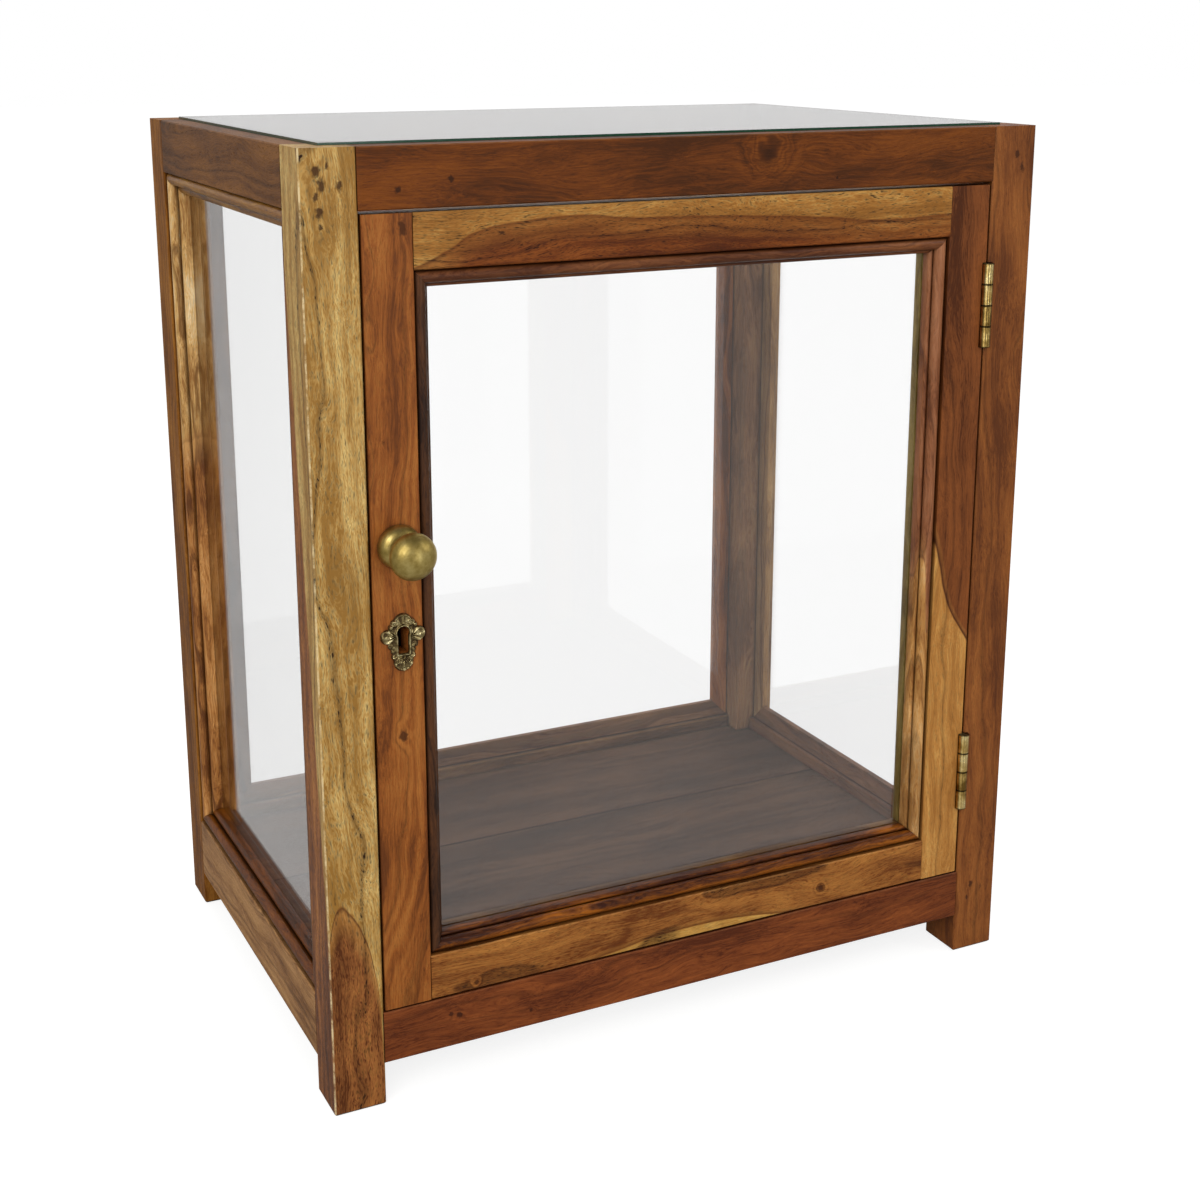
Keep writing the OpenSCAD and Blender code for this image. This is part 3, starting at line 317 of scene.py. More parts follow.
def timber(name, box, along, tones, sap=None, edge=None, seed=0, lean=(0, 0), pith=(60, 35), ring=9, curl=3,
           lines=0.5, figure=0.45, fleck=0.45, pores=0.5, pore_mm=0.6, knots=(), swells=(), joint=None,
           corner_shade=0.7, own_corners=False, wear=0.0, wear_tone="#d9bd88", worn=(0, -0.7071, 0.7071),
           rough=0.44, gloss=0.15, coat=0.0):
    """Lacquered acacia cut along an axis of the cabinet. Strengths go from 0 to 1.

    tones, sap: dark, middle and light of the heartwood and of the sapwood
    edge: where the sapwood ends. Its line is drawn along one axis (0, 1, 2 for X, Y, Z), over the span, and
        across on another, between the ends of the reach. side is 1 for sapwood past the line and -1 for
        sapwood before it. soft is the width of the change, wander how far it strays from the line, rim the
        strength of its dark rim, fade the width of the paler heartwood beside it, and slope its slant from
        the front inward.
    seed, lean, pith: which board of the trunk, its grain's slant in degrees, and where the pith lies from it
    ring, curl: width of a growth ring, and sway of the curly fibres
    lines, figure, fleck: strength of the dark growth lines, of the rings' tones and of pale and dark flecks
    pores, pore_mm: strength of the dark pores, and width of pores and flecks
    knots: x and z of each on the front, its radius, and how far it pushes the rings
    swells: the same for hidden branches, with their reach for the radius
    joint: Y of a dark seam between two boards
    corner_shade, own_corners: strength of the painted shade in corners, and whether it is only in the
    board's own ones
    wear, wear_tone, worn: strength and colour of a pale arris, partly scuffing and partly painted highlight,
    and which way that arris looks
    rough, gloss, coat: how dull the lacquer is, how much it mirrors, and how thick it lies
    """
    made, tree = new_material(name)
    place = in_millimetres(tree)
    log = in_the_trunk(tree, place, box, along, seed, lean, pith)
    grain = bent_fibres(tree, log, curl)
    flat = node(tree, "ShaderNodeVectorMath", {0: grain, 1: (1, 1, 0)}, operation="MULTIPLY")
    radius = node(tree, "ShaderNodeVectorMath", {0: flat}, operation="LENGTH").outputs["Value"]
    for x, z, reach, pull in swells:
        away = node(tree, "ShaderNodeVectorMath", {0: place, 1: (x, FRONT, z)}, operation="DISTANCE")
        radius = push_rings(tree, radius, away.outputs["Value"], reach, pull)
    hearts = None
    for x, z, size, pull in knots:
        away, heart = knot(tree, place, along, x, z, size)
        radius = push_rings(tree, radius, away, size * 4.5, pull)
        if hearts is not None:
            heart = node(tree, "ShaderNodeMath", {0: hearts, 1: heart}, operation="MAXIMUM")
        hearts = heart
    # Growth rings of uneven width, and the thin dark lines where growth stopped
    count = node(tree, "ShaderNodeMath", {0: radius, 1: ring}, operation="DIVIDE")
    bands = node(tree, "ShaderNodeTexNoise", {"W": count, "Scale": 1.0, "Detail": 2.5, "Roughness": 0.5},
                 noise_dimensions="1D")
    stops = node(tree, "ShaderNodeTexNoise", {"W": count, "Scale": 0.31, "Detail": 1.0},
                 noise_dimensions="1D")
    stops = node(tree, "ShaderNodeMath", {0: stops, 1: 0.5}, operation="SUBTRACT")
    stops = node(tree, "ShaderNodeMath", {0: stops}, operation="ABSOLUTE")
    stops = node(tree, "ShaderNodeMapRange", {0: stops, 1: 0.0, 2: 0.022, 3: 1.0, 4: 0.0},
                 interpolation_type="SMOOTHSTEP")
    # Real fibres and pores are 0.1 to 0.3 mm wide. They are drawn coarser so that they show, the pores and
    # flecks as dashes 5.4 mm long.
    fibre = streaks(tree, grain, 1.2, 30, 3.0, 0.65)
    dash = streaks(tree, grain, pore_mm, 5.4, 1.4, 0.6)
    pore = node(tree, "ShaderNodeMapRange", {0: dash, 1: 0.49, 2: 0.71, 3: 0.0, 4: 1.0})
    broad = streaks(tree, log, 30, 90, 3.0, 0.55)
    # The tone, with its middle at 0.5, and over it the colours of each kind of wood
    tone = node(tree, "ShaderNodeMath", {0: bands, 1: figure}, operation="MULTIPLY")
    for part, strength in ((broad, BROAD_TONE), (fibre, FIBRE_TONE), (dash, fleck)):
        tone = node(tree, "ShaderNodeMath", {0: part, 1: strength, 2: tone}, operation="MULTIPLY_ADD")
    excess = (figure + fleck + BROAD_TONE + FIBRE_TONE - 1) / 2
    tone = node(tree, "ShaderNodeMath", {0: tone, 1: excess}, operation="SUBTRACT")
    woods = []
    for shades in ((tones, sap) if sap else (tones,)):
        ramp = node(tree, "ShaderNodeValToRGB", {0: tone})
        ramp.color_ramp.elements[0].position, ramp.color_ramp.elements[1].position = 0.34, 0.66
        ramp.color_ramp.elements.new(0.5)
        for step, shade in zip(ramp.color_ramp.elements, shades):
            step.color = srgb(shade)
        woods.append(ramp.outputs[0])
    colour = woods[0]
    if sap:
        beyond = past_the_edge(tree, place, broad, bands, edge)
        colour = add_sapwood(tree, colour, woods[1], tones, beyond, edge)
    # Dark lines and pores, a seam, knots and, in corners, painted shade
    dark = srgb(tones[0])
    deep = [c * 0.30 for c in dark[:3]] + [1.0]
    stain = node(tree, "ShaderNodeMath", {0: stops, 1: lines}, operation="MULTIPLY")
    stain = node(tree, "ShaderNodeMath", {0: pore, 1: pores, 2: stain}, operation="MULTIPLY_ADD",
                 use_clamp=True)
    if joint is not None:
        seam = node(tree, "ShaderNodeSeparateXYZ", {0: place})
        seam = node(tree, "ShaderNodeMath", {0: seam.outputs[1], 1: joint}, operation="SUBTRACT")
        seam = node(tree, "ShaderNodeMath", {0: seam}, operation="ABSOLUTE")
        seam = node(tree, "ShaderNodeMapRange", {0: seam, 1: 1.1, 2: 0.5, 3: 0.0, 4: 1.0})
        stain = node(tree, "ShaderNodeMath", {0: seam, 1: stain}, operation="MAXIMUM")
    colour = node(tree, "ShaderNodeMix", {0: stain, 6: colour, 7: deep}, data_type="RGBA").outputs[2]
    if hearts is not None:
        black = [c * 0.42 for c in dark[:3]] + [1.0]
        hearts = node(tree, "ShaderNodeMath", {0: hearts, 1: 0.85}, operation="MULTIPLY")
        colour = node(tree, "ShaderNodeMix", {0: hearts, 6: colour, 7: black}, data_type="RGBA").outputs[2]
    # Painted shade: the colour turns to the wood's darkest where corners and nearby parts close in
    corner = node(tree, "ShaderNodeAmbientOcclusion", {"Distance": CORNER_SHADE_REACH / MM}, samples=8,
                  only_local=own_corners)
    corner = node(tree, "ShaderNodeMapRange", {0: corner.outputs["AO"], 1: 0.85, 2: 0.3, 3: 0.0, 4: corner_shade})
    colour = node(tree, "ShaderNodeMix", {0: corner, 6: colour, 7: deep}, data_type="RGBA").outputs[2]
    # A pale arris: scuffing by hands, and a painted highlight along it
    if wear:
        pale_arris_mask = scuffed_and_highlit_arris(tree, place, worn, wear)
        colour = node(tree, "ShaderNodeMix", {0: pale_arris_mask, 6: colour, 7: srgb(wear_tone)},
                      data_type="RGBA").outputs[2]
    # Satin lacquer that sinks a little into the pores, over a face that a hand plane left faintly wavy
    dull = node(tree, "ShaderNodeMath", {0: pore, 1: 0.14, 2: rough - 0.05}, operation="MULTIPLY_ADD")
    dull = node(tree, "ShaderNodeMath", {0: broad, 1: 0.12, 2: dull}, operation="MULTIPLY_ADD")
    relief = node(tree, "ShaderNodeMath", {0: pore, 1: -1.0}, operation="MULTIPLY")
    relief = node(tree, "ShaderNodeMath", {0: fibre, 1: 0.5, 2: relief}, operation="MULTIPLY_ADD")
    bump = node(tree, "ShaderNodeBump", {"Strength": 0.5, "Distance": 0.12 / MM, "Height": relief})
    wave = node(tree, "ShaderNodeTexNoise", {"Vector": place, "Scale": 1 / PLANE_WAVE, "Detail": 1.0})
    bump = node(tree, "ShaderNodeBump", {
        "Strength": 0.35, "Distance": 0.6 / MM, "Height": wave, "Normal": bump})
    wood = node(tree, "ShaderNodeBsdfPrincipled", {
        "Base Color": colour, "Roughness": dull, "Specular IOR Level": gloss, "Normal": bump,
        "Coat Weight": coat, "Coat Roughness": 0.25})
    node(tree, "ShaderNodeOutputMaterial", {0: wood})
    return made


def finish_node(name, material):
    """Gives a CAD node one finish all over."""
    nodes[name].data.materials.clear()
    nodes[name].data.materials.append(material)


def finish_board(name, finish, along, tones, **figure):
    """Gives a CAD node the finish of a board with a figure of its own."""
    finish_node(name, timber(finish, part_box(name), along, tones, **figure))


finish_board(
    "post_front_left", "acacia_sapwood_post_satin_lacquer", "Z", ("#532a0f", "#91582c", "#b17439"),
    sap=("#92692e", "#b9904f", "#dcbc77"),
    edge={"along": 0, "across": 2, "span": (-255, -221), "reach": (0, 140), "side": 1, "soft": 2.5,
          "wander": 22, "rim": 0.8, "fade": 22, "front": -159.5, "slope": 13,
          "line": ((0, 0.80), (0.1, 0.92), (0.26, 0.985), (0.5, 0.93), (0.65, 0.86), (0.79, 0.75),
                   (0.91, 0.58), (0.97, 0.32), (1, 0.0))},
    seed=1, lean=(1, 3), pith=(46, 58), curl=2, lines=0.45, fleck=0.85, pores=0.75, pore_mm=0.75,
    knots=((-245, 587, 2.2, 3), (-242, 580, 2.5, 4), (-245.5, 573, 1.9, 3), (-243.5, 564.5, 2.1, 3),
           (-243, 556, 1.3, 2), (-238.5, 590, 1.2, 2), (-231, 579, 1.9, 2)),
    wear=0.85, wear_tone="#e2cb9c", worn=(-0.7071, -0.7071, 0))
finish_board(
    "post_front_right", "acacia_heartwood_post_satin_lacquer", "Z", ("#5b3015", "#7f481f", "#955a29"),
    seed=2, lean=(-2, 3), pith=(-52, 40), ring=10, lines=0.35, pores=0.4,
    knots=((240, 582, 1.9, 3), (244.5, 572, 1.9, 3), (234, 52, 1.6, 2), (243, 48, 1.2, 2),
           (231, 42, 1.1, 2)),
    wear=0.35, wear_tone="#a3734a")
finish_board(
    "post_back_left", "acacia_brown_post_satin_lacquer", "Z", ("#562f0d", "#85521e", "#a36c2e"),
    seed=3, lean=(2, -2), pith=(48, -44), lines=0.4, gloss=0.05, wear=0.5, wear_tone="#c9ab7e",
    worn=(-0.7071, 0.7071, 0))
finish_board(
    "post_back_right", "acacia_brown_back_post_satin_lacquer", "Z", ("#5a3a22", "#8a6240", "#a47e54"),
    seed=4, lean=(-3, -2), pith=(-50, -38), lines=0.4, wear=0.4, wear_tone="#b08a60")

# Rails of the case
# Eight rails tenoned between the posts, flush with their outer faces: deep red-brown heartwood, planed and
# lacquered like the posts, with a knot in the one over the door. The lower rail on the left is a paler tan.
finish_board(
    "top_rail_front", "acacia_knotty_rail_satin_lacquer", "X", ("#452206", "#633109", "#7b410e"),
    seed=5, lean=(1.5, 1), pith=(-30, 46), ring=11, lines=0.3, pores=0.35,
    knots=((47, 588, 6.5, 42), (-165, 580, 1.8, 5), (-197, 575, 1.8, 4), (98, 571, 0.9, 2)),
    wear=0.25, wear_tone="#96683c")
finish_board(
    "bottom_rail_front", "acacia_deep_red_rail_satin_lacquer", "X", ("#50230d", "#743a19", "#904d22"),
    seed=12, lean=(-1, 1.5), pith=(38, 40), ring=12, lines=0.3, pores=0.35,
    knots=((-170, 50, 1.8, 3), (-176, 52, 1.5, 2), (-120, 40, 1.2, 2)), wear=0.25, wear_tone="#96623a")
RAIL = {"pith": (34, 52), "ring": 10, "lines": 0.4, "pores": 0.45, "gloss": 0.08, "wear": 0.3,
        "wear_tone": "#a4804f"}
for name, seed, tones in (
        ("top_rail_left", 6, ("#4b2c12", "#6f4622", "#86582a")),
        ("top_rail_right", 7, ("#4a2b18", "#6a4327", "#80552f")),
        ("top_rail_back", 8, ("#48301d", "#6b4a30", "#80603c")),
        ("bottom_rail_right", 10, ("#4a2b18", "#6c442a", "#835a35")),
        ("bottom_rail_back", 11, ("#48301d", "#6b4a30", "#80603c"))):
    finish_board(name, f"acacia_rail_satin_lacquer_{seed}", "X" if name.endswith("back") else "Y", tones,
                 seed=seed, lean=(1.5 - seed % 3, seed % 4 - 1), **RAIL)
finish_board("bottom_rail_left", "acacia_tan_rail_satin_lacquer", "Y", ("#6b4524", "#9e7145", "#be905d"),
             seed=9, **RAIL)

# Floor, cleats and stop
# Two wide dark-stained boards on cleats close the bottom. A strip on the left post stops the door. All are
# wiped with a thin, duller coat, and a dark seam shows between the boards.
FLOOR_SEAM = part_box("floor_board_back")[0][1] * MM
for name, seed, along in (
        ("floor_board_front", 13, "X"), ("floor_board_back", 14, "X"), ("floor_cleats", 15, "X"),
        ("door_stop", 16, "Z")):
    finish_board(name, f"acacia_dark_stained_board_{seed}", along, ("#362419", "#4c3527", "#604532"),
                 seed=seed, lean=(1, 1.5), pith=(20, 70), ring=16, lines=0.3, pores=0.25, joint=FLOOR_SEAM,
                 rough=0.58)

# Panes
# Clear float glass, cut and ground at the edges. Light from the lamps and the studio goes straight through
# to the inside. The rim of the top pane shows the green of the glass, with a painted highlight along its
# lower arris.
glass, tree = new_material("clear_float_glass")
pane = node(tree, "ShaderNodeBsdfPrincipled", {
    "Base Color": srgb("#fafafa"), "Roughness": 0.0, "IOR": 1.5, "Transmission Weight": 1.0})
ray = node(tree, "ShaderNodeLightPath")
through = node(tree, "ShaderNodeMath", {0: ray.outputs["Is Shadow Ray"], 1: ray.outputs["Is Diffuse Ray"]},
               operation="MAXIMUM")
clear = node(tree, "ShaderNodeBsdfTransparent", {0: srgb("#f8f8f8")})
float_glass = node(tree, "ShaderNodeMixShader", {0: through, 1: pane, 2: clear})
node(tree, "ShaderNodeOutputMaterial", {0: float_glass})

RIM_FOOT, RIM_TOP = (corner[2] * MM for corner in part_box("glass_top"))
ARRIS_FROM, ARRIS_FULL = RIM_TOP - 2.1, RIM_TOP - 2.6
GRIT_MARK = 2.5  # Width of the marks that grinding left, drawn far coarser than the real ones
rim, tree = new_material("ground_edge_of_float_glass")
place = in_millimetres(tree)
grit = node(tree, "ShaderNodeTexNoise", {"Vector": place, "Scale": 1 / GRIT_MARK, "Detail": 3.0})
shade = node(tree, "ShaderNodeMix", {0: grit, 6: srgb("#0d2a1e"), 7: srgb("#24503c")}, data_type="RGBA")
axes = node(tree, "ShaderNodeSeparateXYZ", {0: place})
# Painted highlight: the lower part of the top pane's rim is pale, as if it caught the light
arris = node(tree, "ShaderNodeMapRange", {0: axes.outputs[2], 1: ARRIS_FROM, 2: ARRIS_FULL, 3: 0.0, 4: 1.0})
lit = node(tree, "ShaderNodeMath", {0: axes.outputs[2], 1: RIM_FOOT - 0.5}, operation="GREATER_THAN")
lit = node(tree, "ShaderNodeMath", {0: lit, 1: arris}, operation="MULTIPLY")
shade = node(tree, "ShaderNodeMix", {0: lit, 6: shade.outputs[2], 7: srgb("#b8c4bc")}, data_type="RGBA")
edge_glass = node(tree, "ShaderNodeBsdfPrincipled", {
    "Base Color": shade.outputs[2], "Roughness": 0.22, "Coat Weight": 0.3, "Coat Roughness": 0.1})
node(tree, "ShaderNodeOutputMaterial", {0: edge_glass})
for name in ("glass_top", "glass_left", "glass_right", "glass_back", "door_glass"):
    finish_node(name, glass)
    nodes[name].data.materials.append(rim)
    low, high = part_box(name)
    thin = min(range(3), key=lambda axis: (high - low)[axis])
    for face in nodes[name].data.polygons:
        face.material_index = 0 if abs(face.normal[thin]) > 0.5 else 1

# Mouldings of the case and the door
# Four strips to a frame, run with a bead on a moulding plane, mitred and pinned round each pane. The strips
# are darker than the frame, and shade is painted into the quirks beside the bead.
BEAD_SPLIT = math.radians(38)  # Corners sharper than this stay sharp


def soften(name):
    """Shades the round faces of a CAD node smoothly and keeps its sharp edges."""
    shape = nodes[name]
    custom = shape.data.attributes.get("custom_normal")
    if custom is not None:
        shape.data.attributes.remove(custom)
    shape.data.polygons.foreach_set("use_smooth", [True] * len(shape.data.polygons))
    weld = shape.modifiers.new("weld", "WELD")
    weld.merge_threshold = 0.005 / MM
    split = shape.modifiers.new("sharp_edges", "EDGE_SPLIT")
    split.split_angle = BEAD_SPLIT
    split.use_edge_sharp = False


def finish_strips(name, across, materials):
    """Gives the strips of a mitred frame their finishes, in the order bottom, top, low side, high side."""
    shape = nodes[name]
    shape.data.materials.clear()
    for material in materials:
        shape.data.materials.append(material)
    low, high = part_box(name)
    for face in shape.data.polygons:
        from_foot, from_top = face.center[2] - low[2], high[2] - face.center[2]
        from_low, from_high = face.center[across] - low[across], high[across] - face.center[across]
        if min(from_foot, from_top) < min(from_low, from_high):
            face.material_index = 0 if from_foot < from_top else 1
        else:
            face.material_index = 2 if from_low < from_high else 3
    soften(name)


# Two upright strips are of two colours. The back one on the left side is sapwood above and heartwood below.
# The one beside the door's hinges is sapwood up to where that stile's sapwood begins.
TWO_TONE_STRIPS = {
    ("moulding_left", 3): {
        "sap": ("#966733", "#d8a966", "#fadeab"),
        "edge": {"along": 2, "across": 1, "span": (40, 560), "reach": (120, 220), "side": 1, "soft": 10,
                 "wander": 26, "rim": 0.35, "fade": 46,
                 "line": ((0, 1.0), (0.55, 0.9), (0.68, 0.1), (1, 0.0))},
        "figure": 0.55, "curl": 4},
    ("door_moulding", 3): {
        "sap": ("#885829", "#bc8648", "#dfb073"),
        "edge": {"along": 0, "across": 2, "span": (176, 190), "reach": (200, 320), "side": -1, "soft": 3,
                 "wander": 14, "rim": 0.6, "fade": 20,
                 "line": ((0, 0.55), (0.35, 0.9), (0.6, 0.45), (1, 0.75))},
        "corner_shade": 0.45}}
for name, across, tones in (
        ("moulding_left", 1, (("#2b1200", "#602f00", "#7e4404"), ("#5a3410", "#8a5a20", "#a5742a"),
                              ("#55341b", "#7d5230", "#94683f"), ("#6e3f1c", "#b0743a", "#dca261"))),
        ("moulding_right", 1, 3 * [("#52301a", "#7c4e2e", "#94643c")] + [("#785432", "#ad8452", "#cfa770")]),
        ("moulding_back", 0, 3 * [("#543321", "#7e5638", "#986e48")] + [("#6e3f20", "#a5622e", "#c47e42")]),
        ("door_moulding", 0, (("#341404", "#673405", "#9a560d"), ("#4a2510", "#6b3d20", "#834f2a"),
                              ("#2a160a", "#4a2b15", "#60391c"), ("#562d17", "#875231", "#a26b48"))),
        ("door_bead", 0, 3 * [("#3f2714", "#61421f", "#7a5830")] + [("#5f4c20", "#86713a", "#a08c50")])):
    level_axis = "X" if across == 0 else "Y"
    strips = []
    for i, shades in enumerate(tones):
        figure = {"corner_shade": 0.85, **TWO_TONE_STRIPS.get((name, i), {})}
        strips.append(timber(
            f"acacia_{name}_strip_{i}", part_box(name), level_axis if i < 2 else "Z", shades,
            seed=20 + i + 5 * across, lean=(0.5, 0.5), pith=(30, 24), ring=7, lines=0.35, pores=0.4,
            own_corners=name != "door_moulding", rough=0.40, coat=0.12, **figure))
    finish_strips(name, across, strips)

# Door frame
# Two stiles and two rails, mortised and tenoned, of warmer boards than the case. The upper rail is half
# sapwood, and sapwood fills the lower part of the stile with the hinges.
finish_board(
    "door_stile_left", "acacia_orange_stile_satin_lacquer", "Z", ("#623414", "#8c4e1e", "#a5662d"),
    seed=31, lean=(1.5, -2), pith=(40, 42), ring=8, lines=0.35, figure=0.6, pores=0.45,
    knots=((-195, 554, 2.6, 3), (-203, 247, 2.4, 8), (-210, 430, 1.2, 2)), swells=((-219, 60, 110, 16),),
    wear=0.3, wear_tone="#b0763f")
finish_board(
    "door_stile_right", "acacia_two_tone_stile_satin_lacquer", "Z", ("#4b240c", "#743f1b", "#894d22"),
    sap=("#9a652c", "#b47c3c", "#cc9851"),
    edge={"along": 2, "across": 0, "span": (60, 340), "reach": (180, 240), "side": -1, "soft": 1.6,
          "wander": 4, "rim": 1.0, "fade": 4,
          "line": ((0, 1.0), (0.5, 1.0), (0.654, 0.66), (0.729, 0.425), (0.771, 0.325), (0.911, 0.16),
                   (1, 0.05))},
    seed=32, lean=(-1.5, 2), pith=(-44, 36), lines=0.35, pores=0.45, wear=0.3, wear_tone="#a06f3c")
finish_board(
    "door_rail_top", "acacia_half_sapwood_rail_satin_lacquer", "X", ("#4f2207", "#71380e", "#8a4a19"),
    sap=("#855621", "#a36e30", "#c0924d"),
    edge={"along": 0, "across": 2, "span": (-190, 190), "reach": (529, 562), "side": 1, "soft": 1.6,
          "wander": 4, "rim": 0.6, "fade": 15,
          "line": ((0, 0.03), (0.066, 0.33), (0.105, 0.576), (0.166, 0.727), (0.284, 0.80), (0.376, 0.70),
                   (0.508, 0.66), (0.64, 0.576), (0.737, 0.506), (0.837, 0.41), (1, 0.46))},
    seed=33, lean=(1, 2), pith=(36, 44), ring=8, lines=0.4, fleck=0.8, pores=0.9, pore_mm=0.7,
    wear=0.25, wear_tone="#b88a50")
finish_board(
    "door_rail_bottom", "acacia_streaked_rail_satin_lacquer", "X", ("#643310", "#955c28", "#b17536"),
    sap=("#a37232", "#c69549", "#e2b665"),
    edge={"along": 0, "across": 2, "span": (-190, 190), "reach": (60, 100), "side": -1, "soft": 1.4,
          "wander": 3, "rim": 0.9, "fade": 3,
          "line": ((0, 0.08), (0.22, 0.08), (0.33, 0.17), (0.47, 0.31), (0.6, 0.27), (0.7, 0.15),
                   (0.8, 0.08), (1, 0.05))},
    seed=44, lean=(0.5, 1), pith=(8, 74), ring=6, curl=1.5, lines=0.6, figure=0.55, fleck=0.7, pores=0.65,
    knots=((-158, 70, 1.4, 3), (103, 78, 2.0, 12)), swells=((-20, 60, 70, 9), (110, 60, 34, 5)),
    wear=0.25, wear_tone="#b88a50")

# Hinges
# Butt hinges of drawn and rolled brass, four knuckles each, polished once and now a little tarnished in
# the seams. Their leaves are let into door and post and held by countersunk slotted screws.
KNUCKLES = 4
TARNISH = "#2a2010"
TARNISH_REACH = 1.8  # From a corner
DENT_WIDTH = 2
SPECKS_A_CLOUD = 3.2  # Specks to the width of one cloud of tarnish


def brass(name, tones, rough, grain_mm, patina, bump_mm=0.02, seams=None, relief=None, specks=0.5,
          drawn=0.0):
    """Yellow brass under a film of tarnish, metallic and with the default IOR. Lengths are in millimetres.

    tones: dark of the tarnish, the metal, and its bright places, in clouds as wide as grain_mm
    patina: strength of the brown tarnish that gathers in corners
    bump_mm: depth of the dents
    seams: foot of a hinge and length of its knuckles, which differ in tone and have tarnish between them
    relief: Y of the ground and of the ridges of a casting. The ridges are painted lighter and the ground
    darker, partly as polish and browning and partly as painted highlight and shade
    specks: strength of small dark spots
    drawn: strength of the scratches round a barrel, which draw the light out along it
    """
    made, tree = new_material(name)
    place = in_millimetres(tree)
    axes = node(tree, "ShaderNodeSeparateXYZ", {0: place})
    cloud = node(tree, "ShaderNodeTexNoise", {
        "Vector": place, "Scale": 1 / grain_mm, "Detail": 5.0, "Roughness": 0.65})
    shine = cloud.outputs[0]
    if seams:
        turn = node(tree, "ShaderNodeMath", {0: axes.outputs[2], 1: seams[0]}, operation="SUBTRACT")
        turn = node(tree, "ShaderNodeMath", {0: turn, 1: seams[1]}, operation="DIVIDE")
        each = node(tree, "ShaderNodeMath", {0: turn}, operation="FLOOR")
        each = node(tree, "ShaderNodeTexWhiteNoise", {"W": each}, noise_dimensions="1D")
        shine = node(tree, "ShaderNodeMath", {0: each, 1: 0.16, 2: shine}, operation="MULTIPLY_ADD")
        shine = node(tree, "ShaderNodeMath", {0: shine, 1: 0.08}, operation="SUBTRACT").outputs[0]
    # Painted highlight and shade: a casting's high places are lighter and its low ones darker, besides their
    # polish and browning
    if relief:
        height = node(tree, "ShaderNodeMapRange", {
            0: axes.outputs[1], 1: relief[0], 2: relief[1], 3: -0.14, 4: 0.16})
        shine = node(tree, "ShaderNodeMath", {0: shine, 1: height}, operation="ADD").outputs[0]
    speck = node(tree, "ShaderNodeTexNoise", {
        "Vector": place, "Scale": SPECKS_A_CLOUD / grain_mm, "Detail": 3.0})
    speck = node(tree, "ShaderNodeMapRange", {0: speck, 1: 0.60, 2: 0.74, 3: 0.0, 4: specks})
    ramp = node(tree, "ShaderNodeValToRGB", {0: shine})
    ramp.color_ramp.elements[0].position, ramp.color_ramp.elements[1].position = 0.34, 0.68
    ramp.color_ramp.elements.new(0.5)
    for step, shade in zip(ramp.color_ramp.elements, tones):
        step.color = srgb(shade)
    colour = node(tree, "ShaderNodeMix", {0: speck, 6: ramp, 7: srgb(tones[0])}, data_type="RGBA").outputs[2]
    corner = node(tree, "ShaderNodeAmbientOcclusion", {"Distance": TARNISH_REACH / MM}, samples=4)
    corner = node(tree, "ShaderNodeMapRange", {0: corner.outputs["AO"], 1: 0.8, 2: 0.3, 3: 0.0, 4: patina})
    if seams:
        join = node(tree, "ShaderNodeMath", {0: turn, 1: 0.5}, operation="PINGPONG")
        join = node(tree, "ShaderNodeMapRange", {0: join, 1: 0.035, 2: 0.06, 3: 0.85, 4: 0.0})
        corner = node(tree, "ShaderNodeMath", {0: corner, 1: join}, operation="MAXIMUM")
    colour = node(tree, "ShaderNodeMix", {0: corner, 6: colour, 7: srgb(TARNISH)},
                  data_type="RGBA").outputs[2]
    dull = node(tree, "ShaderNodeMapRange", {0: shine, 1: 0.3, 2: 0.7, 3: rough + 0.10, 4: rough - 0.06})
    dull = node(tree, "ShaderNodeMath", {0: corner, 1: 0.25, 2: dull}, operation="MULTIPLY_ADD")
    dent = node(tree, "ShaderNodeTexNoise", {"Vector": place, "Scale": 1 / DENT_WIDTH, "Detail": 3.0})
    bump = node(tree, "ShaderNodeBump", {"Strength": 0.5, "Distance": bump_mm / MM, "Height": dent})
    metal = node(tree, "ShaderNodeBsdfPrincipled", {
        "Base Color": colour, "Metallic": 1.0, "Roughness": dull, "Normal": bump})
    if drawn:
        around = node(tree, "ShaderNodeTangent", direction_type="RADIAL", axis="Z")
        tree.links.new(around.outputs[0], metal.inputs["Tangent"])
        metal.inputs["Anisotropic"].default_value = drawn
        metal.inputs["Anisotropic Rotation"].default_value = 0.25
    node(tree, "ShaderNodeOutputMaterial", {0: metal})
    return made


for place in ("upper", "lower"):
    foot, top = (corner[2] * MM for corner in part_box(f"hinge_{place}_post_leaf"))
    rolled = brass(
        f"rolled_brass_tarnished_at_the_seams_{place}", ("#7c5f2c", "#c0a05c", "#ecd698"), rough=0.32,
        grain_mm=9, patina=0.9, bump_mm=0.012, seams=(foot, (top - foot) / KNUCKLES), specks=0.25,
        drawn=0.95)
    for name in ("post_leaf", "door_leaf", "pin"):
        finish_node(f"hinge_{place}_{name}", rolled)
plain_brass = brass("drawn_brass_screws", ("#8a6c36", "#c7a765", "#e8cf92"), rough=0.3, grain_mm=6,
                    patina=0.9)
for name in ("hinge_post_screws", "hinge_door_screws"):
    finish_node(name, plain_brass)

# Knob
# A mushroom head turned from brass bar on a domed rose of the same width, held by a screw through the
# stile. Years of handling have left it satin and olive, with few specks.
knob_brass = brass("turned_brass_handled_satin", ("#8a763b", "#aa9353", "#c6b16f"), rough=0.42, grain_mm=9,
                   patina=0.8, bump_mm=0.008, specks=0.12)
for name in ("knob_head", "knob_rose", "knob_screw"):
    finish_node(name, knob_brass)
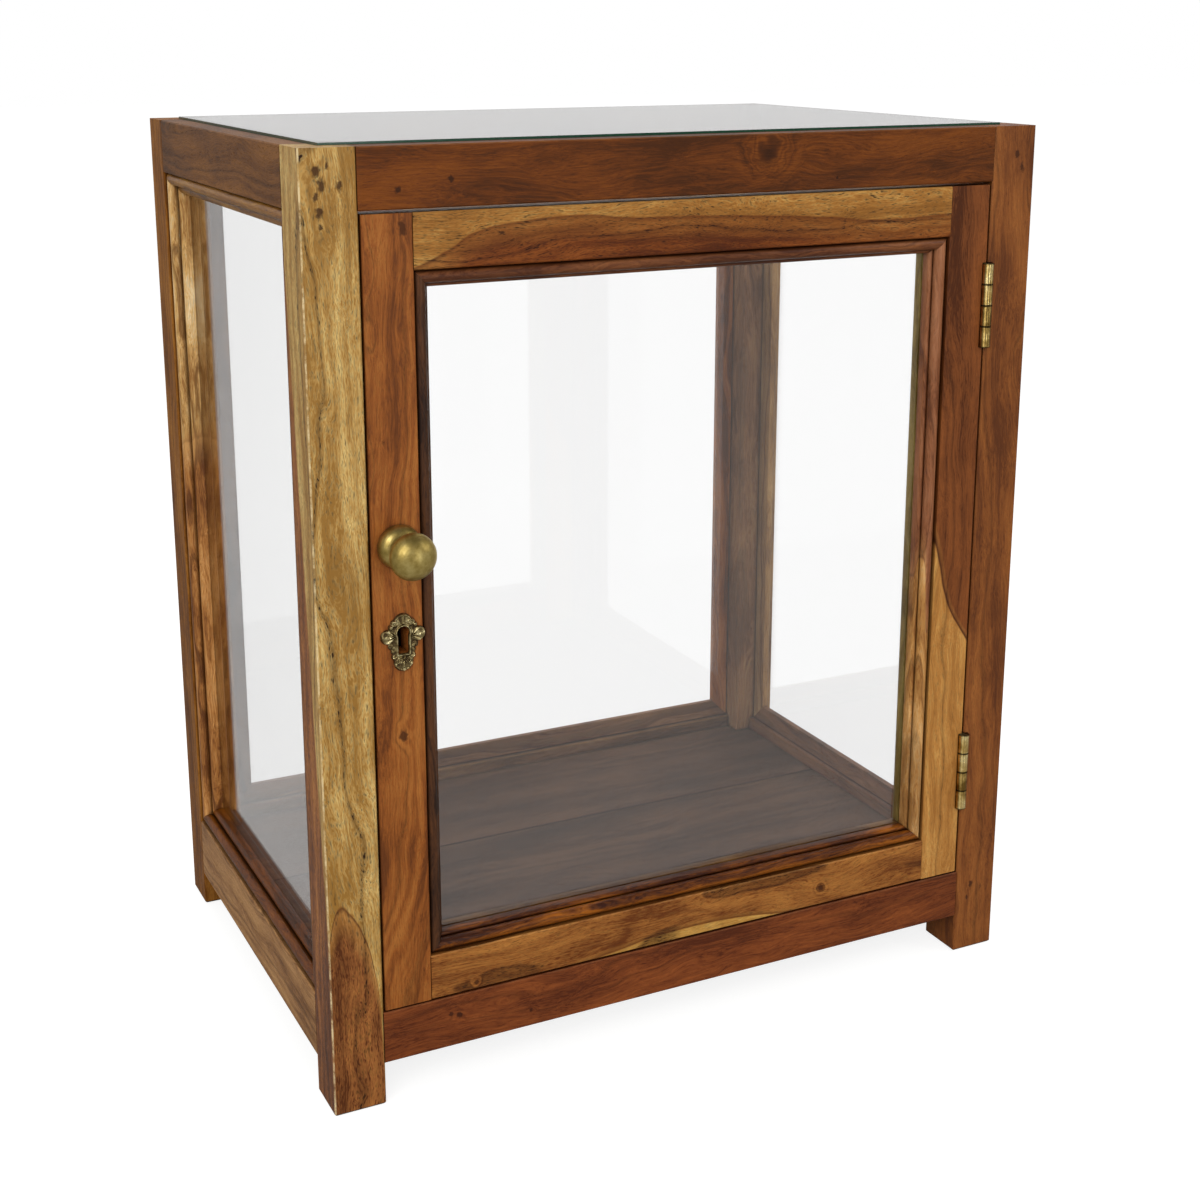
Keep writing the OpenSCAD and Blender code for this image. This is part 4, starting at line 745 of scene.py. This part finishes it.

# Keyhole plate
# Cast brass with a leafy crown, two shells and a scrolled tail in soft relief, browned all over and polished
# bright on the high places, which also carry a painted highlight, while the low places carry painted shade.
# The relief is modelled as heights over the plate. Two round-headed pins hold it.
PLATE_LOW, PLATE_HIGH = ([value * MM for value in corner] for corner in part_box("keyhole_plate"))
PLATE_X = (PLATE_LOW[0] + PLATE_HIGH[0]) / 2
PLATE_Z = 307.0  # Height of the middle of the plate's design, a little over the middle of its outline
PLATE_BACK = PLATE_HIGH[1]
PLATE_TOP = PLATE_HIGH[1] - PLATE_LOW[1] - 0.05  # Height of the highest places, just within the CAD plate
PLATE_STEP = 0.17  # Distance between two heights
KEYHOLE_R, KEYHOLE_MID, KEYHOLE_HALF = 3.8, 1.3, 8.4  # Radius of its round end, its middle, its half height
PIN_PLACES = (12.3, -17.2)


def hump(distance, width, height):
    """A rounded ridge of that half width along the line where the distance is 0."""
    return height * np.exp(-(distance / width) ** 2)


def dome(distance, radius):
    """The height of a dome, 1 at its middle and 0 from its radius on."""
    return np.sqrt(np.clip(1 - (distance / radius) ** 2, 0, 1))


def plate_outline(x, z):
    """Distance from the plate's outline, less than 0 inside. Lobes are blended into a plain block."""
    side = np.abs(x)
    away = np.maximum(side - 6.6, np.abs(z) - 9)
    for lobe_x, lobe_z, radius in (
            (0, 12.1, 5.9), (5.4, 12.2, 2.3), (9.7, 4.2, 4.6), (7.6, 10.1, 1.6), (7.4, -1.9, 2.2),
            (6.3, -5.4, 1.6), (5.9, -8.8, 1.8), (0, -12.1, 6.3)):
        lobe = np.hypot(side - lobe_x, z - lobe_z) - radius
        blend = np.clip(0.5 + (away - lobe) / 1.6, 0, 1)
        away = away * (1 - blend) + lobe * blend - 0.8 * blend * (1 - blend)
    return away


def keyhole_outline(x, z):
    """Distance from the keyhole's outline, less than 0 inside."""
    z = z - KEYHOLE_MID
    neck = z - KEYHOLE_HALF + KEYHOLE_R
    round_part = np.hypot(x, neck) - KEYHOLE_R
    slot = np.maximum(np.abs(x) - KEYHOLE_R * 0.86, np.maximum(-KEYHOLE_HALF - z, neck))
    return np.minimum(round_part, slot)


def plate_edge(x, z):
    """Distance from the nearest edge of the metal, less than 0 in the metal."""
    return np.maximum(plate_outline(x, z), -keyhole_outline(x, z))


def plate_height(x, z):
    """Height of the casting over the wood in millimetres."""
    inside = -plate_outline(x, z)
    side = np.abs(x)
    height = 0.45 + 0.65 * (1 - np.exp(-np.maximum(inside, 0) / 0.7))
    # Crown: a rolled border that curls in at both ends, with a fluted leaf between
    crown = np.clip((z - 9.6) / 1.5, 0, 1)
    height += hump(inside - 0.85, 0.5, 0.85) * crown
    curl = np.hypot(side - 4.6, z - 12.6)
    height += hump(curl - 1.15, 0.38, 0.6) + hump(curl, 0.55, 0.7)
    fan = np.arctan2(x, z - 8.0)
    height += 0.22 * np.cos(fan * 13) * np.clip((4.2 - side) / 2, 0, 1) * np.clip((z - 11.6) / 1.5, 0, 1)
    # Shells: a swelling with ribs that spread from the keyhole, and a scalloped lip
    off = np.hypot(side - 9.4, z - 4.2)
    spread = np.arctan2(z - 4.0, side - 5.2)
    ribs = 0.42 * np.cos(spread * 9) * np.clip(off / 2, 0, 1) * np.clip((5.0 - off) / 1.2, 0, 1)
    height += 0.7 * dome(off, 4.7) + ribs
    height += hump(np.hypot(side - 9.3, (z - 4.6) * 1.3) - 1.5, 0.35, 0.35) + hump(off - 4.0, 0.35, 0.35)
    # Beads down the sides, the studs under the crown, and small leaves
    for bead_x, bead_z, radius, up in (
            (7.6, 10.1, 1.25, 0.95), (7.6, -1.2, 1.1, 0.7), (6.3, -2.7, 0.9, 0.6), (8.4, -2.9, 0.8, 0.5),
            (6.6, -5.2, 1.0, 0.6), (6.3, -7.6, 1.1, 0.6), (6.3, -10.0, 1.0, 0.5)):
        height += up * dome(np.hypot(side - bead_x, (z - bead_z) * 0.8), radius)
    # Tail: a border, two scrolls and a leaf that points down
    tail = np.clip((-7.6 - z) / 1.5, 0, 1)
    height += hump(inside - 0.8, 0.5, 0.55) * tail
    scroll = np.hypot(side - 2.5, z + 11.6)
    turn = np.arctan2(z + 11.6, side - 2.5)
    height += hump(scroll - 1.0 - 0.28 * (turn + math.pi), 0.34, 0.65) * tail + hump(scroll, 0.5, 0.6)
    leaf = np.clip(1 - np.hypot(x / 1.1, (z + 13.9) / 2.2), 0, 1)
    height += 0.9 * np.sqrt(leaf) + 0.16 * np.cos(np.arctan2(x, -9.6 - z) * 15) * tail
    # The rolled rim of the keyhole
    height += hump(keyhole_outline(x, z) - 0.75, 0.55, 1.05)
    # The pins' heads sit on flat places.
    for pin in PIN_PLACES:
        flat = np.clip((np.hypot(x, z - pin) - 0.9) / 0.5, 0, 1)
        height = height * flat + np.minimum(height, 1.35) * (1 - flat)
    return np.minimum(height, PLATE_TOP)


width, tall = PLATE_HIGH[0] - PLATE_LOW[0], PLATE_HIGH[2] - PLATE_LOW[2]
columns = np.linspace(-width / 2, width / 2, int(width / PLATE_STEP) + 2)
rows = np.linspace(PLATE_LOW[2], PLATE_HIGH[2], int(tall / PLATE_STEP) + 2) - PLATE_Z
grid_x, grid_z = np.meshgrid(columns, rows, indexing="ij")
edge_gap = plate_edge(grid_x, grid_z)
kept = (edge_gap[:-1, :-1] + edge_gap[1:, :-1] + edge_gap[:-1, 1:] + edge_gap[1:, 1:]) < 0
# The outer ring of grid points is drawn onto the outline.
TINY = 0.01  # Step over which a slope is taken
slope_x = (plate_edge(grid_x + TINY, grid_z) - plate_edge(grid_x - TINY, grid_z)) / (2 * TINY)
slope_z = (plate_edge(grid_x, grid_z + TINY) - plate_edge(grid_x, grid_z - TINY)) / (2 * TINY)
steep = np.maximum(slope_x ** 2 + slope_z ** 2, 0.3)
outer = (edge_gap > -PLATE_STEP * 0.35) & (edge_gap < PLATE_STEP * 0.75)
grid_x = np.where(outer, grid_x - edge_gap * slope_x / steep, grid_x)
grid_z = np.where(outer, grid_z - edge_gap * slope_z / steep, grid_z)
grid_y = PLATE_BACK - plate_height(grid_x, grid_z)
index = np.full(grid_x.shape, -1)
points, faces, border = [], [], {}
for i, j in zip(*np.nonzero(kept)):
    corners = ((i, j), (i + 1, j), (i + 1, j + 1), (i, j + 1))
    for corner in corners:
        if index[corner] < 0:
            index[corner] = len(points)
            x, z = PLATE_X + grid_x[corner], PLATE_Z + grid_z[corner]
            points.append((x / MM, grid_y[corner] / MM, z / MM))
    ring = [int(index[corner]) for corner in corners]
    faces.append(ring)
    for a, b in zip(ring, ring[1:] + ring[:1]):
        if (b, a) in border:
            del border[b, a]
        else:
            border[a, b] = True
# The rim goes straight down to the wood.
below = {}
for a in sorted({a for pair in border for a in pair}):
    below[a] = len(points)
    points.append((points[a][0], PLATE_BACK / MM, points[a][2]))
faces += [[b, a, below[a], below[b]] for a, b in border]
cast_mesh = bpy.data.meshes.new("keyhole_plate_cast")
cast_mesh.from_pydata(points, [], faces)
cast_mesh.polygons.foreach_set("use_smooth", [True] * len(faces))
keyhole_cast = bpy.data.objects.new("keyhole_plate_cast", cast_mesh)
bpy.context.collection.objects.link(keyhole_cast)
split = keyhole_cast.modifiers.new("sharp_edges", "EDGE_SPLIT")
split.split_angle = math.radians(60)
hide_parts("keyhole_plate")
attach(keyhole_cast, "door")
plate_brass = brass("cast_brass_browned_and_rubbed", ("#56452f", "#968458", "#dcce9d"), rough=0.34,
                    grain_mm=3, patina=0.75, bump_mm=0.05, relief=(PLATE_BACK - 0.9, PLATE_BACK - 2.4))
cast_mesh.materials.append(plate_brass)
for name in ("keyhole_plate", "keyhole_plate_pins"):
    finish_node(name, plate_brass)

# Lock
# A small cupboard lock let into the back of the stile: an iron case, a brass cover and bolt, and a brass
# striking plate in the post. The brass is stamped and dull, the iron blackened and a little rusty.
lock_brass = brass("stamped_brass_dull", ("#6f5a30", "#9c8650", "#bba76c"), rough=0.38, grain_mm=8,
                   patina=0.7)
for name in ("lock_cover", "lock_screws", "lock_bolt", "strike_plate", "strike_screws"):
    finish_node(name, lock_brass)
RUST_SPOT = 5
iron, tree = new_material("blackened_sheet_iron")
rust = node(tree, "ShaderNodeTexNoise", {
    "Vector": in_millimetres(tree), "Scale": 1 / RUST_SPOT, "Detail": 5.0, "Roughness": 0.7})
shade = node(tree, "ShaderNodeMix", {0: rust, 6: srgb("#2b2622"), 7: srgb("#4d443c")}, data_type="RGBA")
bump = node(tree, "ShaderNodeBump", {"Strength": 0.4, "Distance": 0.05 / MM, "Height": rust})
sheet_iron = node(tree, "ShaderNodeBsdfPrincipled", {
    "Base Color": shade.outputs[2], "Metallic": 1.0, "Roughness": 0.55, "Normal": bump})
node(tree, "ShaderNodeOutputMaterial", {0: sheet_iron})
finish_node("lock_case", iron)

# Bounds of the model with its looks, leaving out the backdrop
low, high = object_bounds()
